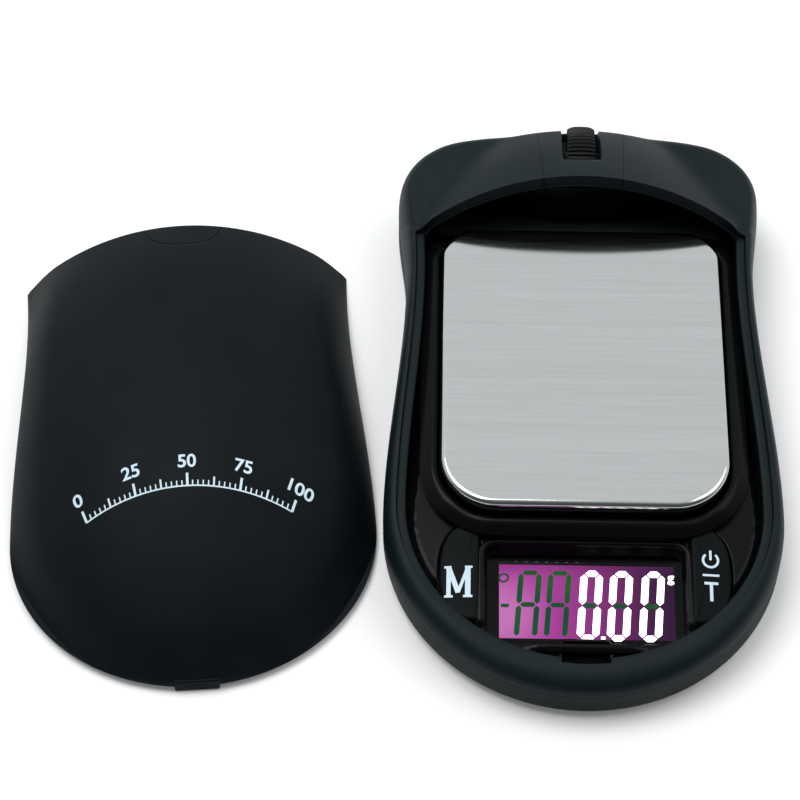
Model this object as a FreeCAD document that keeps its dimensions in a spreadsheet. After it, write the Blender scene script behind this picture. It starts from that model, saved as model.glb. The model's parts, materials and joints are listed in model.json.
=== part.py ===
import FreeCAD, Part
import math
import os

import Sketcher
from FreeCAD import Placement, Rotation, Vector

# A pocket gram scale in a mouse-shaped case, with its lift-off cover lying beside it.
# The scale is modelled about its own centre: +Y from the rounded tail to the nose, +X to the
# right of a user who faces the tail, +Z up, z = 0 on the table. Millimetres.

DIMENSIONS = [
    # the arrangement on the table
    ("scale_x", 34.14, "scale's centre, right of the arrangement's centre"),
    ("scale_y", -1.44, "scale's centre, along the nose direction"),
    ("cover_x", -66.5, "middle of the lying cover's tail edge, from the scale's centre"),
    ("cover_y", -53.0, "middle of the lying cover's tail edge, from the scale's centre"),
    ("cover_turn", 4.7, "lying cover, degrees anticlockwise from the scale"),
    # the case outline, seen from above
    ("tail_radius", 35.2, "half circle of the tail, and the case's widest half"),
    ("tail_centre", -21.0, "y of the tail's centre"),
    ("waist_half", 32.0, "half width at the waist"),
    ("waist_y", 27.0, "y of the waist"),
    ("nose_half", 33.7, "half width at the nose"),
    ("nose_y", 46.0, "y of the nose's widest place"),
    ("corner_half", 23.5, "x where the nose's corner meets its front"),
    ("corner_y", 57.6, "y of the same place"),
    ("nose_front", 59.0, "y of the nose's front"),
    # heights of the case
    ("foot_height", 0.8, "gap under the case"),
    ("floor_top", 2.6, "top of the case's floor"),
    ("parting", 7.0, "line between the lower and the upper shell"),
    ("wall", 1.8, "case wall"),
    ("rim_tail_y", -51.6, "y of the cover's seat at the tail"),
    ("rim_tail_z", 10.6, "height of the rim at the tail"),
    ("rim_slope", 4.27, "degrees that the rim climbs to the nose"),
    ("ledge_drop", 1.0, "cover's ledge below the rim"),
    ("ledge_inset", 1.7, "width of that ledge"),
    ("ledge_thick", 1.3, "thickness of that ledge"),
    # the dome over nose and cover
    ("dome_y", 8.0, "y of the dome's centre"),
    ("dome_z", -5.0, "height of the dome's centre"),
    ("dome_half_width", 43.0, "dome's half axis across"),
    ("dome_half_length", 66.8, "dome's half axis along"),
    ("dome_rise", 38.0, "dome's half axis upwards"),
    ("arch_y", 39.1, "y of the nose's rear edge at its middle"),
    ("arch_radius", 110.3, "that edge's radius, seen from above"),
    ("skin", 1.6, "wall of the cover"),
    # the cover's outline
    ("cover_half", 32.9, "cover's half width at its widest"),
    ("cover_tail", 30.6, "length of its rounded end"),
    ("cover_waist", 30.2, "its half width at the waist"),
    ("cover_gap", 0.25, "cover to rim"),
    ("tab_drop", 1.5, "how far the rear tab reaches below the cover's edge"),
    ("tab_half", 3.9, "half width of the tabs"),
    ("arch_end_y", 34.6, "y of the cover's front corners"),
    # platform
    ("tray_width", 50.6, "steel tray across"),
    ("tray_near", -24.0, "y of the tray's near edge"),
    ("tray_far", 35.8, "y of the tray's far edge"),
    ("tray_top", 17.0, "height of the weighing face"),
    ("tray_lip", 3.8, "depth of its folded edge"),
    ("sheet_steel", 0.5, "tray's thickness"),
    ("tray_corner_near", 10.0, "tray's near corners"),
    ("tray_corner_far", 6.3, "tray's far corners"),
    ("carrier_bottom", 14.3, "underside of the carrier plate"),
    ("carrier_top", 16.1, "top of the carrier plate"),
    # load cell
    ("beam_width", 9.0, "load cell across"),
    ("beam_near", -12.0, "y of the loaded end"),
    ("beam_far", 24.0, "y of the fixed end"),
    ("beam_bottom", 5.0, "underside of the load cell"),
    ("beam_top", 11.0, "top of the load cell"),
    ("beam_screw", 1.4, "radius of its screws"),
    # deck
    ("deck_half", 31.0, "deck's half width"),
    ("deck_tail", 28.6, "length of its rounded end"),
    ("deck_waist", 28.3, "its half width at the waist"),
    ("deck_top", 13.2, "deck beside the tray"),
    ("deck_skin", 1.2, "deck's wall"),
    ("well_floor", 12.4, "deck's floor under the tray"),
    ("well_gap", 0.4, "tray to deck"),
    # display
    ("display_half", 15.4, "half width of the visible display"),
    ("display_near", -46.3, "y of the display window's near edge"),
    ("display_far", -30.2, "y of its far edge"),
    ("display_top", 8.3, "height of the display's glass"),
    ("display_glass", 1.9, "thickness of the display's glass"),
    ("glass_half", 17.4, "half width of the display's glass"),
    ("bezel_half", 17.5, "half width of the recess round the display"),
    ("bezel_far", -28.4, "y of that recess's far edge"),
    ("board_bottom", 3.4, "underside of the circuit board"),
    ("board_top", 4.4, "top of the circuit board"),
    # buttons
    ("button_inner", 18.3, "x of a button's straight side"),
    ("button_outer", 25.2, "x of a button's curved side"),
    ("button_near", -43.0, "y of a button's near end"),
    ("button_far", -24.6, "y of a button's far end"),
    ("button_top", 10.9, "height of a button's face"),
    ("button_gap", 0.3, "button to deck"),
    # batteries
    ("cell_radius", 5.15, "battery's radius"),
    ("cell_half", 22.25, "half of a battery's length"),
    ("cell_front", 50.85, "y of the front battery"),
    ("cell_rear", 40.35, "y of the rear battery"),
    ("cell_z", 7.7, "height of the batteries"),
    ("bay_radius", 5.35, "hollow round a battery"),
    ("bay_wall", 0.75, "wall of the battery bay"),
    ("bay_half", 24.9, "half length of the battery bay"),
    ("door_half", 25.3, "half width of the battery door"),
    ("door_near", 35.1, "y of the door's near edge"),
    ("door_top", 2.35, "top of the battery door"),
    # wheel
    ("wheel_y", 50.2, "y of the wheel's axle"),
    ("wheel_z", 20.2, "height of the wheel's axle"),
    ("wheel_radius", 5.7, "outer radius of the ribbed tyre"),
    ("hub_radius", 4.4, "radius of the hub"),
    ("wheel_half", 2.5, "half of the wheel's width"),
    ("axle_radius", 1.0, "radius of the wheel's stub axles"),
    ("axle_gap", 0.06, "axle to its bearing"),
    # screws and feet
    ("case_screw", 1.1, "radius of a case screw"),
    ("case_head", 1.9, "radius of its head"),
    ("screw_gap", 0.05, "screw to hole"),
    ("rear_screw_x", 9.0, "rear case screws"),
    ("rear_screw_y", -50.8, "rear case screws"),
    ("front_screw_x", 28.3, "front case screws"),
    ("front_screw_y", 43.6, "front case screws"),
    ("boss_radius", 2.2, "radius of the screw bosses"),
    ("foot_radius", 4.0, "radius of a rubber foot"),
    ("foot_recess", 0.5, "how far a foot sits in the floor"),
]

RIBS = 44
TALL = 60.0
doc = FreeCAD.newDocument("gram_scale")
sub_parts = []


def fill_sheet():
    """Write the driving dimensions into the document's sheet."""
    table = doc.addObject("Spreadsheet::Sheet", "Sizes")
    for row, (alias, value, meaning) in enumerate(DIMENSIONS, start=1):
        table.set(f"A{row}", alias)
        table.set(f"B{row}", str(value))
        table.set(f"C{row}", meaning)
        table.setAlias(f"B{row}", alias)
    doc.recompute()
    return table


sheet = fill_sheet()


def size(alias):
    """Read one driving dimension."""
    return float(sheet.get(alias))


def bind(item, **formulas):
    """Bind an object's properties to formulas over the sheet's aliases."""
    for name, formula in formulas.items():
        item.setExpression(name.replace("__", "."), with_sheet(formula))


def with_sheet(formula):
    """Put the sheet's name before each alias in a formula."""
    words = str(formula).replace("(", "( ").replace(")", " )").split()
    aliases = {alias for alias, _, _ in DIMENSIONS}
    named = []
    for word in words:
        sign = "-" if word.startswith("-") and word[1:] in aliases else ""
        bare = word[len(sign):]
        named.append(f"{sign}Sizes.{bare}" if bare in aliases else word)
    return " ".join(named)


def at(item, x=0, y=0, z=0, turn=None):
    """Turn an object, and bind its place."""
    if turn is not None:
        item.Placement = Placement(Vector(), turn)
    bind(item, Placement__Base__x=x, Placement__Base__y=y, Placement__Base__z=z)
    return item


def box(name, x, y, z):
    """Box between two bounds on each axis, each bound a formula."""
    item = doc.addObject("Part::Box", name)
    bind(item, Length=f"( {x[1]} ) - ( {x[0]} )", Width=f"( {y[1]} ) - ( {y[0]} )")
    bind(item, Height=f"( {z[1]} ) - ( {z[0]} )")
    return at(item, x[0], y[0], z[0])


ALONG_X = Rotation(Vector(0, 1, 0), 90)


def rod(name, radius, x, y, z, length, turn=None):
    """Cylinder from a point, along +Z or along the turned axis."""
    item = doc.addObject("Part::Cylinder", name)
    bind(item, Radius=radius, Height=length)
    return at(item, x, y, z, turn)


def fuse(name, *shapes):
    """Join several objects."""
    item = doc.addObject("Part::MultiFuse", name)
    item.Shapes = list(shapes)
    item.Refine = True
    return item


def common(name, *shapes):
    """Keep what several objects share."""
    item = doc.addObject("Part::MultiCommon", name)
    item.Shapes = list(shapes)
    return item


def cut(name, base, *tools):
    """Take tools away from a base."""
    tool = tools[0] if len(tools) == 1 else fuse(name + "_tools", *tools)
    item = doc.addObject("Part::Cut", name)
    item.Base = base
    item.Tool = tool
    return item


def group(name, *shapes):
    """Separate equal solids in one node."""
    item = doc.addObject("Part::Compound", name)
    item.Links = list(shapes)
    return item


def keep(item, label):
    """Name a finished sub-part and set it where the scale stands."""
    item.Label = label
    item.Placement = Placement()
    at(item, "scale_x", "scale_y")
    sub_parts.append(item)
    return item


def keep_turned(item, label):
    """As keep, for a sub-part that already has a place of its own."""
    whole = doc.addObject("Part::Compound", item.Name + "_placed")
    whole.Links = [item]
    return keep(whole, label)


def new_sketch(body, name, height=None, plane="XY_Plane"):
    """Sketch on one of a body's own origin planes, lifted to a bound height."""
    sketch = body.newObject("Sketcher::SketchObject", name)
    base = next(f for f in body.Origin.OriginFeatures if f.Role == plane)
    sketch.AttachmentSupport = [(base, "")]
    sketch.MapMode = "FlatFace"
    if height is not None:
        bind(sketch, AttachmentOffset__Base__z=height)
    return sketch


def draw_rectangle(sketch, x, y):
    """Constrained rectangle between bound x and y limits."""
    corners = [Vector(-1, -1, 0), Vector(1, -1, 0), Vector(1, 1, 0), Vector(-1, 1, 0)]
    first = sketch.GeometryCount
    for index in range(4):
        sketch.addGeometry(Part.LineSegment(corners[index], corners[(index + 1) % 4]))
    for index in range(4):
        following = first + (index + 1) % 4
        sketch.addConstraint(Sketcher.Constraint("Coincident", first + index, 2, following, 1))
    for index, kind in enumerate(("Horizontal", "Vertical", "Horizontal", "Vertical")):
        sketch.addConstraint(Sketcher.Constraint(kind, first + index))
    limits = (("DistanceX", first, 1, x[0]), ("DistanceX", first, 2, x[1]),
              ("DistanceY", first, 1, y[0]), ("DistanceY", first + 2, 1, y[1]))
    for kind, line, end, formula in limits:
        number = sketch.addConstraint(Sketcher.Constraint(kind, -1, 1, line, end, 1.0))
        sketch.setExpression(f"Constraints[{number}]", with_sheet(formula))


def draw_outline(sketch, half, tail, waist, nose=None):
    """Mouse-shaped outline: an elliptic tail, and a smooth side to a nose or to a straight end.

    half is the widest half width, tail the length of the rounded end, waist the half width
    at the waist, and nose the inset of the nose's points, or None for an open-ended outline.
    """
    centre = size("tail_centre")
    side = [(half, centre), (waist, size("waist_y"))]
    headings = [(0, 1), (0, 1)]
    if nose is None:
        side.append((waist + 0.6, size("nose_y")))
        headings.append((0.1, 1))
    else:
        side.append((size("nose_half") - nose, size("nose_y")))
        side.append((size("corner_half") - nose / 2, size("corner_y") - nose))
        side.append((0, size("nose_front") - nose))
        headings += [(0, 1), (-1, 0.25), (-1, 0)]
    for sign in (1, -1):
        points = [Vector(sign * x, y, 0) for x, y in side]
        tangents = [Vector(sign * x, y, 0) for x, y in headings]
        curve = Part.BSplineCurve()
        curve.interpolate(Points=points, Tangents=tangents, TangentFlags=[True] * len(points))
        sketch.addGeometry(curve)
    if nose is None:
        x, y = side[-1]
        sketch.addGeometry(Part.LineSegment(Vector(-x, y, 0), Vector(x, y, 0)))
    middle = Vector(0, centre, 0)
    if abs(half - tail) < 1e-9:
        sketch.addGeometry(Part.ArcOfCircle(Part.Circle(middle, Vector(0, 0, 1), half), math.pi, 2 * math.pi))
    else:
        ellipse = Part.Ellipse(middle, half, tail)
        sketch.addGeometry(Part.ArcOfEllipse(ellipse, math.pi, 2 * math.pi))


def prism(name, bottom, top, draw, *arguments):
    """Body padded between two bound heights from a sketch that a function draws."""
    body = doc.addObject("PartDesign::Body", name)
    sketch = new_sketch(body, name + "_sketch", bottom)
    draw(sketch, *arguments)
    pad = body.newObject("PartDesign::Pad", name + "_pad")
    pad.Profile = sketch
    bind(pad, Length=f"( {top} ) - ( {bottom} )")
    doc.recompute()
    return body


def dress(body, kind, name, radius, test):
    """Fillet or chamfer the edges of a body's last shape that pass a test."""
    base = body.Tip
    edges = [f"Edge{n}" for n, edge in enumerate(base.Shape.Edges, start=1) if test(edge)]
    feature = body.newObject(f"PartDesign::{kind}", name)
    feature.Base = (base, edges)
    if kind == "Fillet":
        bind(feature, Radius=radius)
    else:
        bind(feature, Size=radius)
    doc.recompute()
    return body


def flat_at(z):
    """Test for the edges that lie at one height."""
    return lambda edge: abs(edge.BoundBox.ZMin - z) < 1e-4 and abs(edge.BoundBox.ZMax - z) < 1e-4


def upright(edge):
    """Test for straight upright edges."""
    bounds = edge.BoundBox
    return bounds.ZLength > 0.1 and bounds.XLength < 1e-4 and bounds.YLength < 1e-4


def case_prism(name, bottom, top, inset):
    """Prism of the case's outline, drawn in by an inset."""
    half = size("tail_radius") - inset
    return prism(name, bottom, top, draw_outline, half, half, size("waist_half") - inset, inset)


def cover_prism(name, bottom, top, inset):
    """Prism of the cover's outline, drawn in by an inset."""
    return prism(name, bottom, top, draw_outline, size("cover_half") - inset,
                 size("cover_tail") - inset, size("cover_waist") - inset)


def deck_prism(name, bottom, top, inset):
    """Prism of the inner deck's outline, drawn in by an inset."""
    return prism(name, bottom, top, draw_outline, size("deck_half") - inset,
                 size("deck_tail") - inset, size("deck_waist") - inset)


def dome(name, shrink):
    """Upper half of the ellipsoid that shapes both nose and cover."""
    item = doc.addObject("Part::Ellipsoid", name)
    bind(item, Radius1=f"dome_rise - ( {shrink} )", Radius2=f"dome_half_width - ( {shrink} )",
         Radius3=f"dome_half_length - ( {shrink} )")
    item.Angle1 = -90
    item.Angle2 = 90
    return at(item, 0, "dome_y", "dome_z")


def above_rim(name, drop):
    """Everything above the sloping rim, lowered by a bound amount."""
    item = doc.addObject("Part::Box", name)
    item.Length = 2 * TALL
    item.Width = 3 * TALL
    item.Height = TALL
    item.Placement = Placement(Vector(), Rotation(Vector(1, 0, 0), size("rim_slope")))
    reach = f"{TALL} * sin( rim_slope * 1 deg )"
    return at(item, -TALL, f"rim_tail_y - {TALL}", f"rim_tail_z - ( {drop} ) - {reach}",
              item.Placement.Rotation)


def arch(name, grow):
    """Tall cylinder whose far side is the nose's rear edge, moved by a bound amount."""
    return rod(name, f"arch_radius + {grow}", 0, "arch_y - arch_radius", 0, str(TALL))


def case_screw_places():
    """Name and place of each case screw."""
    return [(f"{end}_{side}", f"{sign} * {end}_screw_x", f"{end}_screw_y")
            for end in ("rear", "front") for side, sign in (("right", 1), ("left", -1))]


def build_bottom_shell():
    """Tub with screw bosses, the load cell's pedestal, board posts and the battery bay."""
    tub = case_prism("tub", "foot_height", "parting", 0)
    dress(tub, "Fillet", "tub_edge", "2", flat_at(size("foot_height")))
    inside = case_prism("tub_inside", "floor_top", "parting + 1", size("wall"))
    hollow = cut("tub_hollow", tub, inside)

    adds = [box("pedestal", ("-beam_width / 2", "beam_width / 2"), ("beam_far - 8", "beam_far + 1"),
                ("floor_top - 1", "beam_bottom"))]
    for place, x, y in case_screw_places():
        adds.append(rod(f"boss_{place}", "boss_radius", x, y, "floor_top - 1", "parting - floor_top + 1"))
    for place, x, y in board_screw_places():
        adds.append(rod(f"post_{place}", "2", x, y, "floor_top - 1", "board_bottom - floor_top + 1"))
    for place in ("front", "rear"):
        adds.append(rod(f"bay_{place}", "bay_radius + bay_wall", "-bay_half - 1", f"cell_{place}",
                        "cell_z", "2 * bay_half + 2", ALONG_X))
    adds.append(box("bay_block", ("-bay_half - 1", "bay_half + 1"),
                    ("cell_rear - bay_radius - bay_wall", "cell_front + bay_radius"),
                    ("floor_top - 1", "cell_z")))
    solid = fuse("tub_solid", hollow, *adds)

    takes = []
    for place in ("front", "rear"):
        takes.append(rod(f"bay_hollow_{place}", "bay_radius", "-bay_half", f"cell_{place}", "cell_z",
                         "2 * bay_half", ALONG_X))
    takes.append(box("bay_hollow", ("-bay_half", "bay_half"),
                     ("cell_rear - bay_radius", "cell_front + bay_radius"), ("0", "cell_z")))
    takes.append(box("bay_window_rear", ("-bay_half - 2", "bay_half + 2"), ("30", "37.2"), ("10.5", "15")))
    takes.append(box("bay_window_front", ("-bay_half - 2", "bay_half + 2"), ("56", "60"), ("parting", "15")))
    takes.append(box("bay_corner_right", ("17", "30"), ("53", "60"), ("parting", "15")))
    takes.append(box("bay_corner_left", ("-30", "-17"), ("53", "60"), ("parting", "15")))
    takes.append(box("door_way", ("-door_half - 0.2", "door_half + 0.2"), ("door_near - 0.2", "60"),
                     ("0", "door_top + 0.1")))
    takes.append(box("door_groove", ("-door_half - 1.2", "door_half + 1.2"), ("door_near - 0.2", "60"),
                     ("1.35", "2.1")))
    for place, x, y in case_screw_places():
        takes.append(rod(f"bore_{place}", "case_screw + screw_gap", x, y, "0", "parting + 1"))
        takes.append(rod(f"sink_{place}", "case_head + 0.1", x, y, "0", "floor_top + 0.6"))
    for place, x, y in board_screw_places():
        takes.append(rod(f"post_bore_{place}", "0.85", x, y, "1.5", "5"))
    for name, y in beam_screw_places("fixed"):
        takes.append(rod(f"bore_{name}", "beam_screw + screw_gap", 0, y, "0", "beam_bottom + 1"))
        takes.append(rod(f"sink_{name}", "2.7", 0, y, "0", "2.4"))
    takes.append(rod("stop_bore", "1.25", 0, "beam_near + 11", "0", "5"))
    takes.append(rod("stop_sink", "2.3", 0, "beam_near + 11", "0", "1.8"))
    for place, x, y in foot_places():
        takes.append(rod(f"foot_recess_{place}", "foot_radius", x, y, "0", "foot_height + foot_recess"))
    return keep(cut("bottom_shell_solid", solid, *takes), "bottom_shell")


def build_upper_shell():
    """Rim with the cover's ledge, and the domed nose with the wheel's bearings."""
    ring = cut("rim_ring", case_prism("rim_block", "parting", "20", 0), above_rim("rim_top", "0"))
    nose = cut("nose_solid", common("nose_block", case_prism("nose_prism", "parting", "36", 0),
                                    dome("nose_dome", "0")), arch("nose_arch", "0"))
    whole = fuse("upper_whole", ring, nose)

    seat = common("seat", cover_prism("seat_prism", "parting", "40", 0),
                  above_rim("seat_top", "ledge_drop"), arch("seat_arch", "0"))
    well = common("well", cover_prism("ring_well", "parting - 1", "40", size("ledge_inset")),
                  arch("well_arch", "0"))
    under = cut("under_ledge", case_prism("under_prism", "parting - 1", "20", size("wall")),
                above_rim("under_top", "ledge_drop + ledge_thick"))
    cavity = common("nose_cavity", case_prism("cavity_prism", "parting - 1", "40", size("wall")),
                    dome("cavity_dome", "wall"), box("cavity_reach", ("-50", "50"), ("30", "60"), ("0", "40")))
    slot = box("wheel_slot", ("-wheel_half - 0.9", "wheel_half + 0.9"), ("wheel_y - 4", "wheel_y + 6.6"),
               ("wheel_z - 2.7", "40"))
    notch = box("tail_notch", ("-tab_half - 0.4", "tab_half + 0.4"), ("rim_tail_y + 0.5", "-46"), ("7.8", "20"))
    battery_room = box("battery_room", ("-cell_half - 0.2", "cell_half + 0.2"),
                       ("cell_front", "cell_front + cell_radius + 0.1"), ("parting - 1", "cell_z + 4"))
    shell = cut("upper_hollow", whole, seat, well, under, cavity, slot, notch, battery_room)

    adds = [shell]
    for side, low, high in (("right", "wheel_half + 0.9", "wheel_half + 2.2"),
                            ("left", "-wheel_half - 2.2", "-wheel_half - 0.9")):
        plate = box(f"ear_{side}", (low, high), ("wheel_y - 2.5", "wheel_y + 2.5"), ("wheel_z - 2.5", "36"))
        adds.append(common(f"ear_trim_{side}", plate, dome(f"ear_dome_{side}", "0.8")))
    bores = [rod("axle_bore", "axle_radius + axle_gap", "-8", "wheel_y", "wheel_z", "16", ALONG_X)]
    for place, x, y in case_screw_places():
        height = "12" if place.startswith("front") else "2.2"
        post = rod(f"upper_boss_{place}", "boss_radius", x, y, "parting", height)
        adds.append(common(f"upper_boss_trim_{place}", post, dome(f"boss_dome_{place}", "0.8"),
                           case_prism(f"boss_prism_{place}", "parting", "30", 1.0)))
        bores.append(rod(f"upper_bore_{place}", "case_screw + screw_gap", x, y, "parting - 1", "2.25"))
    return keep(cut("upper_shell_solid", fuse("upper_solid", *adds), *bores), "upper_shell")


def draw_button(sketch, sign, grow):
    """D shape: straight beside the display, curved along the rim."""
    inner = sign * (size("button_inner") - grow)
    outer = sign * (size("button_outer") + grow)
    near = size("button_near") - grow
    far = size("button_far") + grow
    middle = (near + far) / 2
    shoulder = sign * (size("button_inner") + 2.4)
    near_end = Vector(inner, near, 0)
    far_end = Vector(inner, far, 0)
    near_shoulder = Vector(shoulder, near, 0)
    far_shoulder = Vector(shoulder, far, 0)
    sketch.addGeometry(Part.LineSegment(near_end, far_end))
    sketch.addGeometry(Part.LineSegment(far_end, far_shoulder))
    sketch.addGeometry(Part.Arc(far_shoulder, Vector(outer, middle, 0), near_shoulder))
    sketch.addGeometry(Part.LineSegment(near_shoulder, near_end))


def build_deck():
    """Inner deck: well under the tray, step and wall under the nose, display recess, button holes."""
    block = deck_prism("deck_block", "parting + 0.6", "deck_top", 0)
    dress(block, "Fillet", "deck_edge", "2.4", lambda edge: flat_at(size("deck_top"))(edge)
          and edge.BoundBox.YMin < size("waist_y") + 5)
    front = box("deck_front", ("-50", "50"), ("36.65", "60"), ("0", "40"))
    slope = doc.addObject("Part::Box", "deck_slope")
    slope.Length = 2 * TALL
    slope.Width = TALL
    slope.Height = TALL
    at(slope, -TALL, f"tray_near - {TALL} * cos( 9 deg )", f"deck_top - {TALL} * sin( 9 deg )",
       Rotation(Vector(1, 0, 0), 9))
    plate = cut("deck_plate", block, front, slope)
    under = cut("deck_under", deck_prism("deck_under_prism", "parting", "well_floor - 1", size("deck_skin")),
                box("deck_under_stop", ("-50", "50"), ("37", "60"), ("0", "40")))
    under_tail = box("deck_under_tail", ("-50", "50"), ("-60", "tray_near - 1.5"), ("8.6", "20"))
    tub = cut("deck_tub", plate, cut("deck_under_trim", under, under_tail))

    shelf = common("shelf", case_prism("shelf_prism", "14.2", "15.4", 2.2),
                   box("shelf_block", ("-28", "28"), ("tray_far + well_gap", "60"), ("14.2", "15.4")),
                   arch("shelf_arch", "2.6"))
    step = box("deck_step", ("-28", "28"), ("tray_far + well_gap", "tray_far + well_gap + 0.45"),
               ("well_floor - 1", "15.4"))
    wall = common("wall_trim", cut("wall_ring", arch("wall_far", "2.6"), arch("wall_near", "1.3")),
                  case_prism("wall_prism", "14.2", "34", 2.2), dome("wall_dome", "2.1"),
                  box("wall_reach", ("-50", "50"), ("30", "60"), ("14.2", "34")))
    legs = [rod(f"deck_leg_{n}", "1.5", x, y, "floor_top", "well_floor - floor_top - 0.5")
            for n, (x, y) in enumerate((("24", "-10"), ("-24", "-10"), ("24", "20"), ("-24", "20")))]
    flange = common("deck_flange", case_prism("flange_prism", "parting + 0.6", "8.05", 2.2),
                    box("flange_block", ("-40", "40"), ("-60", "-30"), ("7", "9")))
    solid = fuse("deck_solid", tub, shelf, step, wall, flange, *legs)

    half = "tray_width / 2 + well_gap + 0.4"
    takes = [box("deck_well", (f"-( {half} )", half), ("tray_near - well_gap", "tray_far + well_gap"),
                 ("well_floor", "40")),
             box("boss_hole", ("-6.2", "6.2"), ("beam_near - 1.6", "beam_near + 9.6"), ("7", "40")),
             box("bezel", ("-bezel_half", "bezel_half"), ("display_near - 0.8", "bezel_far"),
                 ("display_top + 0.7", "40")),
             box("window", ("-display_half", "display_half"), ("display_near", "display_far"), ("5", "40")),
             box("glass_room", ("-glass_half - 0.2", "glass_half + 0.2"), ("-47", "-28"),
                 ("5", "display_top + 0.05")),
             box("front_tab_slot", ("-tab_half", "tab_half"), ("38", "46"), ("22.2", "40"))]
    for place, x, y in case_screw_places()[:2]:
        takes.append(rod(f"boss_room_{place}", "boss_radius + 0.3", x, y, "6", "2.5"))
    for side, sign in (("right", 1), ("left", -1)):
        takes.append(prism(f"button_hole_{side}", "5", "40", draw_button, sign, size("button_gap")))
        takes.append(prism(f"flange_room_{side}", "5", "8.5", draw_button, sign, 0.95))
    return keep(cut("inner_deck_solid", solid, *takes), "inner_deck")


def build_cover():
    """Domed cover with a rear tab and a front tab, lying on its edge beside the scale."""
    outer = common("cover_outer", cover_prism("cover_block", "parting", "40", size("cover_gap")),
                   dome("cover_dome", "0"), above_rim("cover_seat", "ledge_drop - 0.05"),
                   arch("cover_arch", "-cover_gap"))
    inner = common("cover_inner", cover_prism("cover_room", "parting - 2", "40",
                                              size("cover_gap") + size("skin")),
                   dome("cover_room_dome", "skin"))
    shell = cut("cover_hollow", outer, inner)
    seat_z = "rim_tail_z - ledge_drop + 0.05"
    rear_tab = box("rear_tab", ("-tab_half", "tab_half"), ("rim_tail_y + 1", "rim_tail_y + 2.2"),
                   (f"{seat_z} - tab_drop", f"{seat_z} + 1.2"))
    front_tab = cut("front_tab", common("front_tab_trim",
                                        box("front_tab_block", ("-tab_half + 0.9", "tab_half - 0.9"),
                                            ("arch_y - 4", "arch_y + 0.9"), ("24", "40")),
                                        dome("front_tab_dome", "wall + 0.2")),
                    dome("front_tab_room", "wall + 1.4"))
    bridge = common("front_tab_bridge", box("bridge_block", ("-tab_half + 0.9", "tab_half - 0.9"),
                                            ("arch_y - 4", "arch_y - 0.8"), ("24", "40")),
                    cut("bridge_trim", dome("bridge_dome", "0.8"), dome("bridge_room", "wall + 1.4")))
    whole = fuse("cover_whole", shell, rear_tab, front_tab, bridge)
    doc.recompute()

    edge_z = size("rim_tail_z") - size("ledge_drop") + 0.05
    tail = Vector(0, size("rim_tail_y"), edge_z)
    length = size("arch_end_y") - size("rim_tail_y")
    climb = length * math.tan(math.radians(size("rim_slope")))
    pitch = math.degrees(math.atan2(climb + size("tab_drop"), length))
    lying = Rotation(Vector(0, 0, 1), size("cover_turn")) * Rotation(Vector(1, 0, 0), -pitch)
    target = Vector(size("scale_x") + size("cover_x"), size("scale_y") + size("cover_y"), 0)
    whole.Placement = Placement(target - lying.multVec(tail), lying)
    lowest = whole.Shape.optimalBoundingBox(True, False).ZMin
    whole.Placement = Placement(whole.Placement.Base - Vector(0, 0, lowest), lying)
    whole.Label = "cover_shell"
    sub_parts.append(whole)
    return whole


def draw_tray(sketch, inset):
    """Tray outline, drawn in by an inset."""
    draw_rectangle(sketch, (f"-( tray_width / 2 - {inset} )", f"tray_width / 2 - {inset}"),
                   (f"tray_near + {inset}", f"tray_far - {inset}"))


def tray_prism(name, bottom, top, inset):
    """Prism of the tray's rounded outline."""
    body = prism(name, bottom, top, draw_tray, inset)
    near = (size("tray_near") + size("tray_far")) / 2
    dress(body, "Fillet", name + "_near", f"tray_corner_near - {inset}",
          lambda edge: upright(edge) and edge.BoundBox.YMin < near)
    dress(body, "Fillet", name + "_far", f"tray_corner_far - {inset}",
          lambda edge: upright(edge) and edge.BoundBox.YMin > near
          and abs(edge.BoundBox.YMin - size("tray_far") + inset) < 1e-3)
    return body


def build_platform():
    """Steel tray, its tape, and the plastic carrier with the load cell's boss."""
    tray = tray_prism("tray_block", "tray_top - tray_lip", "tray_top", 0)
    dress(tray, "Fillet", "tray_edge", "0.9", flat_at(size("tray_top")))
    hollow = tray_prism("tray_room", "tray_top - tray_lip - 1", "tray_top - sheet_steel",
                        size("sheet_steel"))
    keep(cut("tray_solid", tray, hollow), "platform_tray")

    for side, sign in (("right", 1), ("left", -1)):
        reach = ("7", "19") if sign > 0 else ("-19", "-7")
        tape = box(f"tape_{side}", reach, ("tray_near + 8", "tray_far - 8"),
                   ("carrier_top", "tray_top - sheet_steel"))
        keep_turned(tape, f"tray_tape_{side}")

    plate = tray_prism("carrier_plate", "carrier_bottom", "carrier_top", 1.4)
    boss = box("carrier_boss", ("-beam_width / 2", "beam_width / 2"), ("beam_near", "beam_near + 8"),
               ("beam_top", "carrier_bottom + 0.5"))
    lightening = [box(f"carrier_window_{n}", (x0, x1), (y0, y1), ("13", "17"))
                  for n, (x0, x1, y0, y1) in enumerate((("8", "20", "-8", "6"), ("-20", "-8", "-8", "6"),
                                                        ("8", "20", "10", "24"), ("-20", "-8", "10", "24")))]
    bores = [rod(f"carrier_bore_{name}", "beam_screw + screw_gap", 0, y, "beam_top - 1", "5.2")
             for name, y in beam_screw_places("loaded")]
    keep(cut("carrier_solid", fuse("carrier_whole", plate, boss), *lightening, *bores),
         "platform_carrier")


def beam_screw_places(end):
    """Name and y of the screws at one end of the load cell."""
    if end == "fixed":
        return [("fixed_far", "beam_far - 1.9"), ("fixed_near", "beam_far - 6")]
    return [("loaded_near", "beam_near + 1.9"), ("loaded_far", "beam_near + 6")]


def board_screw_places():
    """Name and place of each circuit board screw."""
    return [("right", "25", "-20.2"), ("left", "-25", "-20.2")]


def foot_places():
    """Name and place of each rubber foot."""
    return [("rear_right", "19.5", "-41"), ("rear_left", "-19.5", "-41"),
            ("front_right", "25", "27.5"), ("front_left", "-25", "27.5")]


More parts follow.
